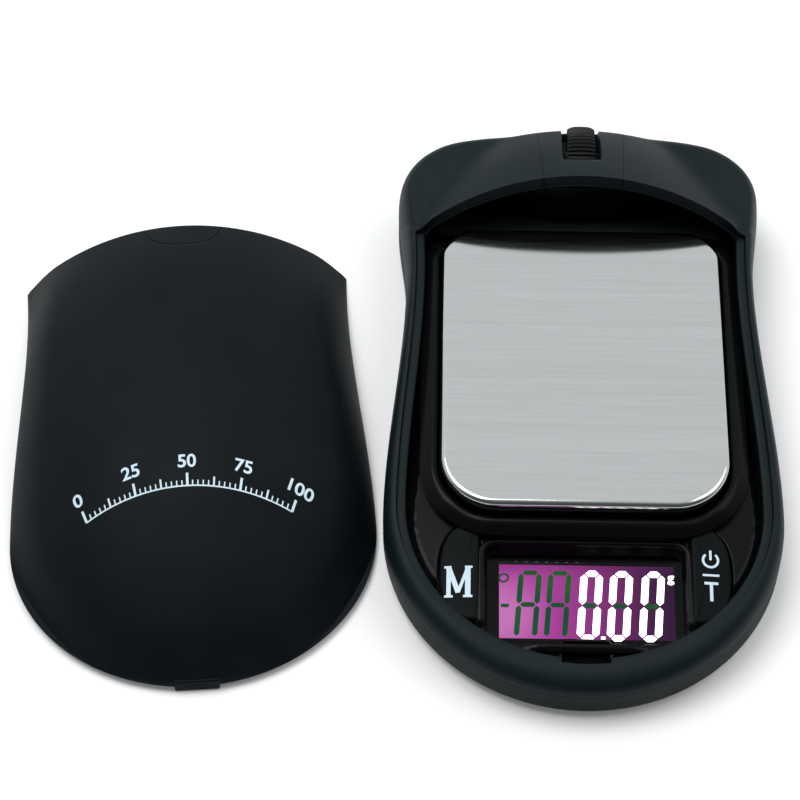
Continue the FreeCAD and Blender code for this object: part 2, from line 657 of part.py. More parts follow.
def screw(name, x, y, z, head, shaft, head_height, length):
    """Screw pointing up: a head, its cross recess, and a shaft."""
    whole = fuse(name + "_whole", rod(name + "_head", head, x, y, z, head_height),
                 rod(name + "_shaft", shaft, x, y, z, length))
    across = box(name + "_cross_x", (f"{x} - 0.9", f"{x} + 0.9"), (f"{y} - 0.2", f"{y} + 0.2"),
                 (f"{z} - 1", f"{z} + 0.6"))
    along = box(name + "_cross_y", (f"{x} - 0.2", f"{x} + 0.2"), (f"{y} - 0.9", f"{y} + 0.9"),
                (f"{z} - 1", f"{z} + 0.6"))
    return cut(name, whole, across, along)


def build_load_cell():
    """Aluminium beam with its flexure holes, the gauges, the screws and the overload stop."""
    beam = box("beam", ("-beam_width / 2", "beam_width / 2"), ("beam_near", "beam_far"),
               ("beam_bottom", "beam_top"))
    middle = "( beam_near + beam_far ) / 2"
    height = "( beam_bottom + beam_top ) / 2"
    takes = [rod("flexure_near", "2.3", "-10", f"{middle} - 3.2", height, "20", ALONG_X),
             rod("flexure_far", "2.3", "-10", f"{middle} + 3.2", height, "20", ALONG_X),
             box("flexure_slot", ("-10", "10"), (f"{middle} - 3.2", f"{middle} + 3.2"),
                 (f"{height} - 0.9", f"{height} + 0.9"))]
    for end in ("fixed", "loaded"):
        for name, y in beam_screw_places(end):
            takes.append(rod(f"beam_bore_{name}", "beam_screw + screw_gap", 0, y, "0", "20"))
    keep(cut("load_cell_solid", beam, *takes), "load_cell")

    gauge_y = (f"{middle} - 5", f"{middle} + 5")
    keep_turned(box("gauge_top", ("-2.6", "2.6"), gauge_y, ("beam_top", "beam_top + 0.25")),
                "strain_gauge_top")
    keep_turned(box("gauge_bottom", ("-2.6", "2.6"), gauge_y, ("beam_bottom - 0.25", "beam_bottom")),
                "strain_gauge_bottom")
    fixed = [screw(f"screw_{name}", "0", y, "1", "2.6", "beam_screw", "1.3", "8.6")
             for name, y in beam_screw_places("fixed")]
    keep(group("fixed_end_screws", *fixed), "load_cell_base_screws")
    loaded = [screw(f"screw_{name}", "0", y, "beam_bottom - 1.2", "1.95", "beam_screw", "1.2", "10.4")
              for name, y in beam_screw_places("loaded")]
    keep(group("loaded_end_screws", *loaded), "platform_screws")
    stop = screw("stop_screw", "0", "beam_near + 11", "1", "2.2", "1.2", "0.8", "3.3")
    keep(stop, "overload_stop_screw")


def build_display():
    """Display glass on its backlight, with the rubber connector and the light."""
    front = box("front_pane", ("-glass_half", "glass_half"), ("-46.8", "-29.9"),
                ("display_top - display_glass / 2", "display_top"))
    rear = box("rear_pane", ("-glass_half", "glass_half"), ("-46.8", "-28.1"),
               ("display_top - display_glass", "display_top - display_glass / 2"))
    keep_turned(front, "display_front_glass")
    keep_turned(rear, "display_rear_glass")
    light = box("backlight", ("-16.2", "16.2"), ("-46.4", "-31.4"), ("board_top", "display_top - display_glass"))
    keep_turned(light, "backlight_panel")
    lamp = box("lamp", ("16.4", "17.5"), ("-41", "-37"), ("board_top", "board_top + 1.4"))
    keep_turned(lamp, "backlight_lamp")
    rubber = box("rubber", ("-17", "17"), ("-30.8", "-28.6"), ("board_top", "display_top - display_glass"))
    keep_turned(rubber, "display_connector")


def build_board():
    """Circuit board with its chips and screws, and the two switches."""
    plate = common("board_plate", case_prism("board_prism", "board_bottom", "board_top", 3.2),
                   box("board_block", ("-28.5", "28.5"), ("-46.7", "-16"), ("board_bottom", "board_top")))
    bores = [rod(f"board_bore_{place}", "1.05", x, y, "3", "2") for place, x, y in board_screw_places()]
    keep(cut("board_solid", plate, *bores), "circuit_board")
    blob = rod("blob_disc", "3.6", "-9", "-21.6", "board_top", "1.1")
    blob_cap = doc.addObject("Part::Sphere", "blob_cap")
    bind(blob_cap, Radius="6.5")
    at(blob_cap, "-9", "-21.6", "board_top + 1.1 - 6.5")
    keep(common("blob", blob, blob_cap), "processor_blob")
    keep_turned(box("converter", ("7", "12"), ("-23.6", "-19.7"), ("board_top", "board_top + 1.5")),
                "converter_chip")
    keep_turned(rod("capacitor_can", "1.9", "16.5", "-21.5", "board_top", "3.8"), "capacitor")
    screws = []
    for place, x, y in board_screw_places():
        shaft = rod(f"board_screw_shaft_{place}", "0.8", x, y, "1.8", "board_top - 1.8")
        head = rod(f"board_screw_head_{place}", "1.7", x, y, "board_top", "1.1")
        screws.append(fuse(f"board_screw_{place}", shaft, head))
    keep(group("board_screw_group", *screws), "board_screws")

    for name, sign in (("mode", "-1"), ("power", "1")):
        x = f"{sign} * 21.4"
        y = "( button_near + button_far ) / 2"
        case = box(f"{name}_switch_case", (f"{x} - 2.2", f"{x} + 2.2"), (f"{y} - 2.2", f"{y} + 2.2"),
                   ("board_top", "board_top + 1.7"))
        room = rod(f"{name}_switch_room", "1.25", x, y, "board_top + 0.6", "3")
        keep(cut(f"{name}_switch_solid", case, room), f"{name}_switch")
        plunger = rod(f"{name}_plunger_rod", "1.2", x, y, "board_top + 1.2", "1.4")
        keep_turned(plunger, f"{name}_switch_plunger")


def build_buttons():
    """Two D-shaped buttons, each with a flange under the deck and a stem on its switch."""
    for name, sign in (("mode", -1), ("power", 1)):
        cap = prism(f"{name}_cap", "7.6", "button_top", draw_button, sign, 0)
        dress(cap, "Fillet", f"{name}_cap_edge", "0.7", flat_at(size("button_top")))
        inside_deck = deck_prism(f"{name}_cap_room", "5", "20", 0.7)
        flange = prism(f"{name}_flange", "7.2", "8", draw_button, sign, 0.55)
        stem = rod(f"{name}_stem", "1.5", f"{sign} * 21.4", "( button_near + button_far ) / 2",
                   "board_top + 2.6", "2")
        trimmed = common(f"{name}_cap_trim", cap, inside_deck)
        keep(fuse(f"{name}_button_solid", trimmed, flange, stem), f"{name}_button")


def build_wheel():
    """Ribbed tyre on a hub with stub axles."""
    hub = fuse("hub_whole",
               rod("hub_disc", "hub_radius", "-wheel_half + 0.2", "wheel_y", "wheel_z",
                   "2 * wheel_half - 0.4", ALONG_X),
               rod("hub_axle", "axle_radius", "-wheel_half - 2", "wheel_y", "wheel_z",
                   "2 * wheel_half + 4", ALONG_X))
    keep(hub, "scroll_wheel_hub")
    tyre = rod("tyre_disc", "wheel_radius", "-wheel_half", "wheel_y", "wheel_z", "2 * wheel_half", ALONG_X)
    takes = [rod("tyre_bore", "hub_radius", "-10", "wheel_y", "wheel_z", "20", ALONG_X)]
    for rib in range(RIBS):
        angle = 360.0 * rib / RIBS
        y = f"wheel_y + ( wheel_radius + 0.15 ) * cos( {angle} deg )"
        z = f"wheel_z + ( wheel_radius + 0.15 ) * sin( {angle} deg )"
        takes.append(rod(f"tyre_groove_{rib}", "0.3", "-10", y, z, "20", ALONG_X))
    keep(cut("tyre_solid", tyre, *takes), "scroll_wheel_tyre")


def build_batteries():
    """Two AAA cells, their contacts and the sliding door."""
    for place, sign in (("front", 1), ("rear", -1)):
        start = "-cell_half" if sign > 0 else "-cell_half + 0.9"
        can = rod(f"can_{place}", "cell_radius", start, f"cell_{place}", "cell_z", "2 * cell_half - 0.9",
                  ALONG_X)
        nub_start = "cell_half - 1" if sign > 0 else "-cell_half"
        nub = rod(f"nub_{place}", "1.9", nub_start, f"cell_{place}", "cell_z", "1", ALONG_X)
        keep(fuse(f"battery_{place}_solid", can, nub), f"battery_{place}")

    def plate(name, x, y, top="cell_z + 3.6"):
        return box(name, x, y, ("cell_z - 4", top))

    def spring(name, sign, place):
        """Coil spring from a contact plate to a battery's flat end."""
        reach = size("bay_half") - 0.4 - size("cell_half")
        wire = 0.3
        helix = Part.makeHelix((reach - 2 * wire) / 2.5, reach - 2 * wire, 2.6)
        ring = Part.Wire([Part.Circle(Vector(2.6, 0, 0), Vector(0, 1, 0), wire).toShape()])
        item = doc.addObject("Part::Feature", name)
        item.Shape = Part.Wire(helix.Edges).makePipeShell([ring], True, True)
        turn = Rotation(Vector(0, 1, 0), 90)
        x = sign * (size("cell_half") + wire) if sign > 0 else -size("bay_half") + 0.4 + wire
        item.Placement = Placement(Vector(x, size(f"cell_{place}"), size("cell_z")), turn)
        return item

    left = plate("series_plate", ("-bay_half", "-bay_half + 0.4"), ("cell_rear - 4", "cell_front + 3.4"),
                 "cell_z + 0.8")
    bump = rod("series_bump", "2.4", "-bay_half + 0.2", "cell_rear", "cell_z", "bay_half - cell_half - 0.2",
               ALONG_X)
    keep(fuse("series_whole", left, bump), "battery_contact_series")
    keep_turned(spring("series_spring", -1, "front"), "battery_spring_front")
    plus = plate("plus_plate", ("bay_half - 0.4", "bay_half"), ("cell_front - 4", "cell_front + 3.4"))
    plus_bump = rod("plus_bump", "2.4", "cell_half", "cell_front", "cell_z", "bay_half - cell_half - 0.2",
                    ALONG_X)
    keep(fuse("plus_whole", plus, plus_bump), "battery_contact_positive")
    minus = plate("minus_plate", ("bay_half - 0.4", "bay_half"), ("cell_rear - 4", "cell_rear + 4"))
    keep_turned(minus, "battery_contact_negative")
    keep_turned(spring("minus_spring", 1, "rear"), "battery_spring_rear")

    slab = box("door_slab", ("-door_half", "door_half"), ("door_near", "60"), ("0", "door_top"))
    tongues = box("door_tongues", ("-door_half - 1", "door_half + 1"), ("door_near + 1", "door_near + 16"),
                  ("1.5", "1.95"))
    outside = case_prism("door_outline", "foot_height", "parting", 0)
    dress(outside, "Fillet", "door_outline_edge", "2", flat_at(size("foot_height")))
    grips = [box(f"door_grip_{n}", ("-7", "7"), (f"{y}", f"{y} + 0.8"), ("0", "foot_height + 0.4"))
             for n, y in enumerate(("44", "45.8", "47.6", "49.4"))]
    keep(cut("door_solid", common("door_trim", fuse("door_whole", slab, tongues), outside), *grips),
         "battery_door")


def build_feet_and_screws():
    """Rubber feet and the four case screws."""
    for place, x, y in foot_places():
        disc = rod(f"foot_disc_{place}", "foot_radius", x, y, "0", "foot_height + foot_recess")
        keep_turned(disc, f"foot_{place}")
    screws = [screw(f"case_screw_{place}", x, y, "foot_height + 0.5", "case_head", "case_screw",
                    "1.3", "parting - foot_height + 0.6")
              for place, x, y in case_screw_places()]
    keep(group("case_screw_group", *screws), "case_screws")


def bent_wire(name, points, bend, radius):
    """Round wire along straight runs joined by tangent arcs."""
    edges = []
    start = points[0]
    for before, corner, after in zip(points, points[1:], points[2:]):
        into = (corner - before).normalize()
        out = (after - corner).normalize()
        half = into.getAngle(out) / 2
        reach = bend * math.tan(half)
        first = corner - into * reach
        last = corner + out * reach
        inward = (out - into).normalize()
        middle = corner + inward * (bend / math.cos(half) - bend)
        edges.append(Part.LineSegment(start, first).toShape())
        edges.append(Part.Arc(first, middle, last).toShape())
        start = last
    edges.append(Part.LineSegment(start, points[-1]).toShape())
    path = Part.Wire(edges)
    heading = points[1] - points[0]
    ring = Part.Wire([Part.Circle(points[0], heading, radius).toShape()])
    item = doc.addObject("Part::Feature", name)
    item.Shape = path.makePipeShell([ring], True, True)
    return item


def build_wires():
    """Four thin gauge wires, and the two battery wires."""
    board = size("board_top")
    for number, colour in enumerate(("red", "green", "white", "black")):
        x = 5.6 + 1.1 * number
        route = [Vector(x, 2.0, 8.6), Vector(x, -17.5, 8.6), Vector(x, -17.5, board)]
        keep_turned(bent_wire(f"gauge_wire_{colour}_run", route, 2.0, 0.3), f"gauge_wire_{colour}")
    for name, x in (("positive", 27.6), ("negative", 26.6)):
        route = [Vector(x, 38.0, 5.4), Vector(x, -17.5, 5.4), Vector(x, -17.5, board)]
        keep_turned(bent_wire(f"battery_wire_{name}_run", route, 0.8, 0.4), f"battery_wire_{name}")


def check_document():
    """Stop if any object failed, or a sub-part is empty or invalid."""
    for item in doc.Objects:
        if "Invalid" in item.State or "Error" in item.State:
            raise RuntimeError(f"{item.Label} failed: {item.State}")
    for item in sub_parts:
        if item.Shape.isNull() or not item.Shape.isValid() or not item.Shape.Solids:
            raise RuntimeError(f"{item.Label} has no sound shape")


def write_parts():
    """Write each sub-part to its own file."""
    os.makedirs("parts", exist_ok=True)
    for item in sub_parts:
        item.Shape.exportStep(f"parts/{item.Label}.step")


build_bottom_shell()
build_upper_shell()
build_deck()
build_cover()
build_platform()
build_load_cell()
build_display()
build_board()
build_buttons()
build_wheel()
build_batteries()
build_feet_and_screws()
build_wires()
doc.recompute()
check_document()
write_parts()
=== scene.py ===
"""Looks for a pocket gram scale in a mouse-shaped case, with its lift-off cover beside it."""

import json
import logging
import math
from dataclasses import dataclass, field
from enum import Enum

import bmesh
import bpy
import numpy as np
from mathutils import Matrix, Vector


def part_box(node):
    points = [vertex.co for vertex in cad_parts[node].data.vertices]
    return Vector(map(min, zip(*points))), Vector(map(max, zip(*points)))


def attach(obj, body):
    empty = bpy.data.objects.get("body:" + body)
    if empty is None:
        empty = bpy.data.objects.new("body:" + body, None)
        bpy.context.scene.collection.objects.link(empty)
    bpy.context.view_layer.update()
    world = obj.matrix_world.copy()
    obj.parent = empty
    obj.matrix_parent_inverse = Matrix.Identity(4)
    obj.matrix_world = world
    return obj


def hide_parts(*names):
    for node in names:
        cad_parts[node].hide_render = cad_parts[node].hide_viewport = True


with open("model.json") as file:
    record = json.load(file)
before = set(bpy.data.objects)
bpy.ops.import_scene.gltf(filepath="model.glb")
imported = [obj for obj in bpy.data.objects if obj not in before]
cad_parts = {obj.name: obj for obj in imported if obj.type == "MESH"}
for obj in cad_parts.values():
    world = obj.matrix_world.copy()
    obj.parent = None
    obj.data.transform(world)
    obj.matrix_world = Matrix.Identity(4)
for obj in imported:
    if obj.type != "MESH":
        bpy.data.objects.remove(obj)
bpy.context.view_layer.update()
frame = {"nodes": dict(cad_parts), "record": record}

Array = np.ndarray
Colour = tuple[float, float, float]
Socket = bpy.types.NodeSocket
MM = 0.001
SMEARS_PER_METRE = 38.0
LOG = logging.getLogger("gram_scale")


# ---------------------------------------------------------------- shapes worked out as arrays


def smooth(value: Array | float) -> Array | float:
    """Smooth step: 3t squared less 2t cubed, of a value held between 0 and 1."""
    t = np.clip(value, 0.0, 1.0)
    return t * t * (3.0 - 2.0 * t)


def shoulder(distance: Array, radius: Array | float, fullness: float = 2.0) -> Array:
    """Rounded shoulder from 0 at an edge to 1 a radius inside it.

    A superellipse quarter: one less (one less distance over radius) to the power of the
    fullness, and the fullness's root of that.

    Args:
        distance: distance from the edge.
        radius: where the shoulder ends.
        fullness: 2 for a circle, more for a squarer shoulder.

    Returns:
        Share of the full height at each distance.
    """
    left = 1.0 - np.clip(distance / radius, 0.0, 1.0)
    return (1.0 - left**fullness) ** (1.0 / fullness)


def cubic(start: tuple, end: tuple, heading: tuple, arrival: tuple, reach: float, steps: int) -> Array:
    """Cubic between two points with a heading at each, weighted by the four Hermite terms.

    Args:
        start: first point.
        end: last point.
        heading: unit direction at the start.
        arrival: unit direction at the end.
        reach: weight of both directions.
        steps: number of points.

    Returns:
        Points, one row each.
    """
    t = np.linspace(0.0, 1.0, steps)[:, None]
    ends = (2 * t**3 - 3 * t**2 + 1) * np.array(start) + (3 * t**2 - 2 * t**3) * np.array(end)
    turns = (t**3 - 2 * t**2 + t) * np.array(heading) + (t**3 - t**2) * np.array(arrival)
    return ends + reach * turns


def resample(line: Array, shares: Array) -> Array:
    """Points at shares of a line's length.

    Args:
        line: points of the line.
        shares: shares between 0 and 1.

    Returns:
        One point for each share.
    """
    run = np.concatenate([[0.0], np.cumsum(np.linalg.norm(np.diff(line, axis=0), axis=1))])
    places = shares * run[-1]
    return np.stack([np.interp(places, run, line[:, axis]) for axis in range(line.shape[1])], -1)


def mirrored(half: Array) -> Array:
    """Close a right half, tail first, with its mirror image."""
    return np.concatenate([half, half[::-1][1:-1] * np.array([-1.0, 1.0])])


def both_sides(half: Array) -> Array:
    """Open line from a right half's far end round its start to the mirrored far end."""
    return np.concatenate([(half * np.array([-1.0, 1.0]))[::-1], half[1:]])


def edge_distance(points: Array, line: Array) -> Array:
    """Distance from each point to the nearest stretch of a line: square to it, or to its nearer end.

    Args:
        points: places, the last axis x and y.
        line: points of the line, in order.

    Returns:
        Distances, in the shape of the points without their last axis.
    """
    flat = points.reshape(-1, 1, 2)
    start, along = line[None, :-1], np.diff(line, axis=0)[None]
    share = ((flat - start) * along).sum(-1) / (along**2).sum(-1)
    gap = flat - start - np.clip(share, 0.0, 1.0)[..., None] * along
    return np.sqrt((gap**2).sum(-1).min(axis=1)).reshape(points.shape[:-1])


def rounded_rectangle(half: float, near: float, far: float, near_radius: float, far_radius: float,
                      steps: int = 14) -> Array:
    """Closed loop of a rectangle with circular corners, anticlockwise from its near right corner.

    Args:
        half: half width.
        near: y of the near edge.
        far: y of the far edge.
        near_radius: radius of the near corners.
        far_radius: radius of the far corners.
        steps: points in each corner.

    Returns:
        Points of the loop.
    """
    low, high = near + near_radius, far - far_radius
    corners = ((-90, 1, low, near_radius), (0, 1, high, far_radius),
               (90, -1, high, far_radius), (180, -1, low, near_radius))
    loop = []
    for turn, side, y, radius in corners:
        angle = np.radians(np.linspace(turn, turn + 90, steps))
        x = side * (half - radius) + radius * np.cos(angle)
        loop.append(np.stack([x, y + radius * np.sin(angle)], -1))
    return np.concatenate(loop)


def outward(loop: Array) -> Array:
    """Unit directions pointing out of an anticlockwise loop, square to its chords."""
    along = np.roll(loop, -1, axis=0) - np.roll(loop, 1, axis=0)
    along /= np.linalg.norm(along, axis=1, keepdims=True)
    return np.stack([along[:, 1], -along[:, 0]], -1)


def sweep(loop: Array, offsets: Array, heights: Array) -> Array:
    """Profile carried round a loop: each profile point moves out by its offset, to its height.

    Args:
        loop: closed loop, one point a row.
        offsets: offset of each profile point from the loop, outward.
        heights: height of each profile point, or one row of heights for each loop point.

    Returns:
        Grid of points, loop by profile.
    """
    plan = loop[:, None, :] + outward(loop)[:, None, :] * np.asarray(offsets)[None, :, None]
    level = np.broadcast_to(np.asarray(heights, float), plan.shape[:2])
    return np.concatenate([plan, level[..., None]], -1)


def capped(ring: Array) -> Array:
    """Add one more column to a swept grid, all at the middle of its last column."""
    middle = ring[:, -1:, :].mean(axis=0, keepdims=True)
    return np.concatenate([ring, np.broadcast_to(middle, (ring.shape[0], 1, 3))], 1)


def grid_quads(rows: int, columns: int, round_rows: bool, round_columns: bool) -> Array:
    """Corner numbers of the quads of a grid of points.

    Args:
        rows: rows of points.
        columns: columns of points.
        round_rows: whether the last row joins the first.
        round_columns: whether the last column joins the first.

    Returns:
        Four corner numbers for each quad.
    """
    first, second = np.meshgrid(np.arange(rows - (not round_rows)), np.arange(columns - (not round_columns)),
                                indexing="ij")
    below, beside = (first + 1) % rows, (second + 1) % columns
    corners = [first * columns + second, below * columns + second, below * columns + beside,
               first * columns + beside]
    return np.stack(corners, -1).reshape(-1, 4)


def pillow(low: tuple, high: tuple, radius: float, steps: int = 28) -> Array:
    """Block with rounded edges: each direction of a sphere, moved out to the corner it faces.

    Args:
        low: lowest corner.
        high: highest corner.
        radius: radius of every edge.
        steps: points round the sphere, an even number.

    Returns:
        Grid of points over the block.
    """
    turn = (np.arange(steps) + 0.5) * 2 * math.pi / steps
    climb = np.linspace(-math.pi / 2, math.pi / 2, steps)
    a, b = np.meshgrid(turn, climb, indexing="ij")
    facing = np.stack([np.cos(a) * np.cos(b), np.sin(a) * np.cos(b), np.sin(b)], -1)
    middle = (np.array(low) + np.array(high)) / 2
    reach = (np.array(high) - np.array(low)) / 2 - radius
    corner = np.where(facing >= 0, 1.0, -1.0) * reach
    pole = np.abs(np.abs(facing[..., 2]) - 1) < 1e-9
    corner[pole, :2] = 0
    return middle + corner + radius * facing


def bars(table: list[tuple[float, float, float, float, float]]) -> tuple[Array, Array]:
    """Flat strokes, each a quad a stroke's width wide.

    Args:
        table: x and y of each stroke's start, x and y of its end, and its width.

    Returns:
        Points in the plane, and the quads over them.
    """
    rows = np.array(table)
    start, end, width = rows[:, 0:2], rows[:, 2:4], rows[:, 4:5]
    along = (end - start) / np.linalg.norm(end - start, axis=1, keepdims=True)
    side = np.stack([-along[:, 1], along[:, 0]], -1) * width / 2
    corners = np.stack([start - side, end - side, end + side, start + side], 1)
    return corners.reshape(-1, 2), np.arange(len(rows) * 4).reshape(-1, 4)


def arc_band(centre: tuple, radius: float, width: float, start: float, end: float,
             steps: int = 40) -> tuple[Array, Array]:
    """Flat band along a circle, between two angles in degrees.

    Args:
        centre: centre of the circle.
        radius: radius of the band's middle.
        width: width of the band.
        start: first angle.
        end: last angle.
        steps: points along the band.

    Returns:
        Points in the plane, and the quads over them.
    """
    angle = np.radians(np.linspace(start, end, steps))[:, None]
    across = radius + np.array([[width / 2, -width / 2]])
    points = np.stack([centre[0] + across * np.cos(angle), centre[1] + across * np.sin(angle)], -1)
    return points.reshape(-1, 2), grid_quads(steps, 2, False, False)


# ---------------------------------------------------------------- finishes


class Graph:
    """Short way to add nodes to one tree and join them."""

    def __init__(self, tree: bpy.types.NodeTree) -> None:
        """Keep the tree."""
        self.tree = tree

    def node(self, kind: str, **settings: object) -> bpy.types.Node:
        """Add a node and set its settings.

        Args:
            kind: the node's type.
            **settings: its settings, by name.

        Returns:
            The new node.
        """
        made = self.tree.nodes.new(kind)
        for key, value in settings.items():
            setattr(made, key, value)
        return made

    def feed(self, socket: Socket, value: object) -> None:
        """Join a socket to an output, or give it a value.

        Args:
            socket: the input.
            value: an output, or a plain value.
        """
        if isinstance(value, Socket):
            self.tree.links.new(value, socket)
        else:
            socket.default_value = value

    def math(self, operation: str, first: object, second: object = 0.0) -> Socket:
        """Result of a Math node over two values.

        Args:
            operation: the sum to do.
            first: first value or output.
            second: second one.

        Returns:
            The result.
        """
        made = self.node("ShaderNodeMath", operation=operation)
        self.feed(made.inputs[0], first)
        self.feed(made.inputs[1], second)
        return made.outputs[0]

    def mix(self, share: object, first: object, second: object) -> Socket:
        """Colour between two, by a share.

        Args:
            share: how much of the second colour.
            first: first colour.
            second: second colour.

        Returns:
            The mixed colour.
        """
        made = self.node("ShaderNodeMix", data_type="RGBA")
        self.feed(made.inputs[0], share)
        self.feed(made.inputs[6], first)
        self.feed(made.inputs[7], second)
        return made.outputs[2]

    def ramp(self, value: object, low: float, high: float, start: object, end: object) -> Socket:
        """Value carried smoothly from one range to another.

        Args:
            value: the value.
            low: start of its range.
            high: end of its range.
            start: result at the start.
            end: result at the end.

        Returns:
            The carried value.
        """
        made = self.node("ShaderNodeMapRange", interpolation_type="SMOOTHSTEP")
        for socket, item in zip(made.inputs, (value, low, high, start, end)):
            self.feed(socket, item)
        return made.outputs[0]

    def noise(self, vector: object, scale: object, detail: float = 3.0) -> Socket:
        """Value of a noise over a vector.

        Args:
            vector: where to read it.
            scale: cells per metre.
            detail: octaves.

        Returns:
            The noise, about 0 to 1.
        """
        made = self.node("ShaderNodeTexNoise")
        self.feed(made.inputs["Vector"], vector)
        self.feed(made.inputs["Scale"], scale)
        made.inputs["Detail"].default_value = detail
        return made.outputs[0]

    def group(self, effect: "Effect", **values: float) -> bpy.types.Node:
        """Place an effect's group with values of its own.

        Args:
            effect: the effect.
            **values: its group's inputs, by name.

        Returns:
            The group node.
        """
        made = self.node("ShaderNodeGroup", node_tree=effect.tree())
        for key, value in values.items():
            made.inputs[key].default_value = value
        return made

    def local(self) -> tuple[Socket, Socket]:
        """A piece's own x and y in millimetres, from its UV map."""
        place = self.node("ShaderNodeUVMap", uv_map="own_plan")
        parts = self.node("ShaderNodeSeparateXYZ")
        self.feed(parts.inputs[0], place.outputs[0])
        return tuple(self.math("MULTIPLY", self.math("SUBTRACT", parts.outputs[axis], 0.5), 100.0)
                     for axis in (0, 1))


class Effect(Enum):
    """Surface effects that several finishes share."""

    GRAIN = "moulded_grain"
    HANDLING = "handling_marks"
    BRUSHING = "brushed_lines"

    def tree(self) -> bpy.types.NodeTree:
        """The effect's group, built the first time it is asked for."""
        made = bpy.data.node_groups.get(self.value)
        if made is not None:
            return made
        made = bpy.data.node_groups.new(self.value, "ShaderNodeTree")
        made.interface.new_socket("Scale", in_out="INPUT", socket_type="NodeSocketFloat")
        made.interface.new_socket("Height", in_out="OUTPUT", socket_type="NodeSocketFloat")
        made.interface.new_socket("Mottle", in_out="OUTPUT", socket_type="NodeSocketFloat")
        graph = Graph(made)
        entry = graph.node("NodeGroupInput")
        leave = graph.node("NodeGroupOutput")
        place = graph.node("ShaderNodeTexCoord").outputs["Object"]
        scale = entry.outputs["Scale"]
        height, mottle = {Effect.GRAIN: grain, Effect.HANDLING: handling, Effect.BRUSHING: brushing}[self](
            graph, place, scale)
        graph.feed(leave.inputs["Height"], height)
        graph.feed(leave.inputs["Mottle"], mottle)
        return made


def grain(graph: Graph, place: Socket, scale: Socket) -> tuple:
    """Spark-eroded mould grain: fine rounded cells over a slower waviness.

    Args:
        graph: the group's tree.
        place: where to read the pattern.
        scale: cells per metre.

    Returns:
        Height and mottle.
    """
    cells = graph.node("ShaderNodeTexVoronoi", feature="SMOOTH_F1")
    graph.feed(cells.inputs["Vector"], place)
    graph.feed(cells.inputs["Scale"], scale)
    fine = graph.noise(place, graph.math("MULTIPLY", scale, 0.6))
    height = graph.math("ADD", graph.math("MULTIPLY", cells.outputs["Distance"], 0.6), fine)
    return height, graph.noise(place, graph.math("MULTIPLY", scale, 0.02), 5.0)


def handling(graph: Graph, place: Socket, scale: Socket) -> tuple:
    """Handling marks: broad smears, and a few specks of dust as sparse peaks of a fine noise.

    Args:
        graph: the group's tree.
        place: where to read the pattern.
        scale: smears per metre.

    Returns:
        Specks and smears.
    """
    smear = graph.noise(place, scale, 6.0)
    speck = graph.ramp(graph.noise(place, graph.math("MULTIPLY", scale, 40.0), 1.0), 0.74, 0.8, 0.0, 1.0)
    return speck, smear


def brushing(graph: Graph, place: Socket, scale: Socket) -> tuple:
    """Brushed lines: noise stretched sixtyfold along x, at two widths.

    Args:
        graph: the group's tree.
        place: where to read the pattern.
        scale: lines per metre.

    Returns:
        Fine lines, and both widths together.
    """
    stretch = graph.node("ShaderNodeMapping")
    graph.feed(stretch.inputs["Vector"], place)
    stretch.inputs["Scale"].default_value = (0.016, 1.0, 1.0)
    fine = graph.noise(stretch.outputs[0], scale, 4.0)
    broad = graph.noise(stretch.outputs[0], graph.math("MULTIPLY", scale, 0.12), 3.0)
    return fine, graph.math("ADD", graph.math("MULTIPLY", fine, 0.6), graph.math("MULTIPLY", broad, 0.4))


@dataclass(frozen=True)
class Finish:
    """A surface finish: colour, gloss, and the unevenness that a real one has.

    Attributes:
        name: the finish's name, which is its material's too.
        colour: main colour, linear.
        worn: colour that the mottle drifts towards.
        roughness: mean roughness.
        metallic: 1 for bare metal.
        effect: which shared effect gives the relief and mottle.
        scale: cells or lines per metre.
        relief: depth of the relief, in millimetres.
        coat: clear coat over it.
        specular: strength of its plain reflection.
    """

    name: str
    colour: Colour
    worn: Colour
    roughness: float
    metallic: float = 0.0
    effect: Effect = Effect.GRAIN
    scale: float = 4500.0
    relief: float = 0.01
    coat: float = 0.0
    specular: float = 0.5

    def material(self) -> bpy.types.Material:
        """The finish's material, built the first time it is asked for."""
        return bpy.data.materials.get(self.name) or self.build()

    def build(self) -> bpy.types.Material:
        """Build the material: the effect drives colour, roughness and bump."""
        made = bpy.data.materials.new(self.name)
        made.use_nodes = True
        made.node_tree.nodes.clear()
        graph = Graph(made.node_tree)
        shader = graph.node("ShaderNodeBsdfPrincipled")
        graph.feed(graph.node("ShaderNodeOutputMaterial").inputs[0], shader.outputs[0])
        shader.inputs["Metallic"].default_value = self.metallic
        shader.inputs["Coat Weight"].default_value = self.coat
        shader.inputs["Coat Roughness"].default_value = 0.12
        shader.inputs["Specular IOR Level"].default_value = self.specular
        effect = graph.group(self.effect, Scale=self.scale)
        marks = graph.group(Effect.HANDLING, Scale=SMEARS_PER_METRE)
        share = graph.ramp(effect.outputs["Mottle"], 0.35, 0.65, 0.0, 1.0)
        colour = graph.mix(share, (*self.colour, 1.0), (*self.worn, 1.0))
        glossier, duller = self.roughness * 0.88, min(1.0, self.roughness * 1.12)
        rough = graph.ramp(marks.outputs["Mottle"], 0.3, 0.7, glossier, duller)
        height = graph.math("MULTIPLY", effect.outputs["Height"], self.relief * MM)
        colour, rough, height = self.dress(graph, colour, rough, height)
        graph.feed(shader.inputs["Base Color"], colour)
        graph.feed(shader.inputs["Roughness"], rough)
        bump = graph.node("ShaderNodeBump")
        bump.inputs["Distance"].default_value = 1.0
        graph.feed(bump.inputs["Height"], height)
        graph.feed(shader.inputs["Normal"], bump.outputs[0])
        self.light(graph, shader)
        return made

    def dress(self, graph: Graph, colour: object, rough: object, height: object) -> tuple:
        """Hook for what one finish adds: changed colour, roughness and height."""
        return colour, rough, height

    def light(self, graph: Graph, shader: bpy.types.Node) -> None:
        """Hook for a finish that glows; a plain one doesn't."""


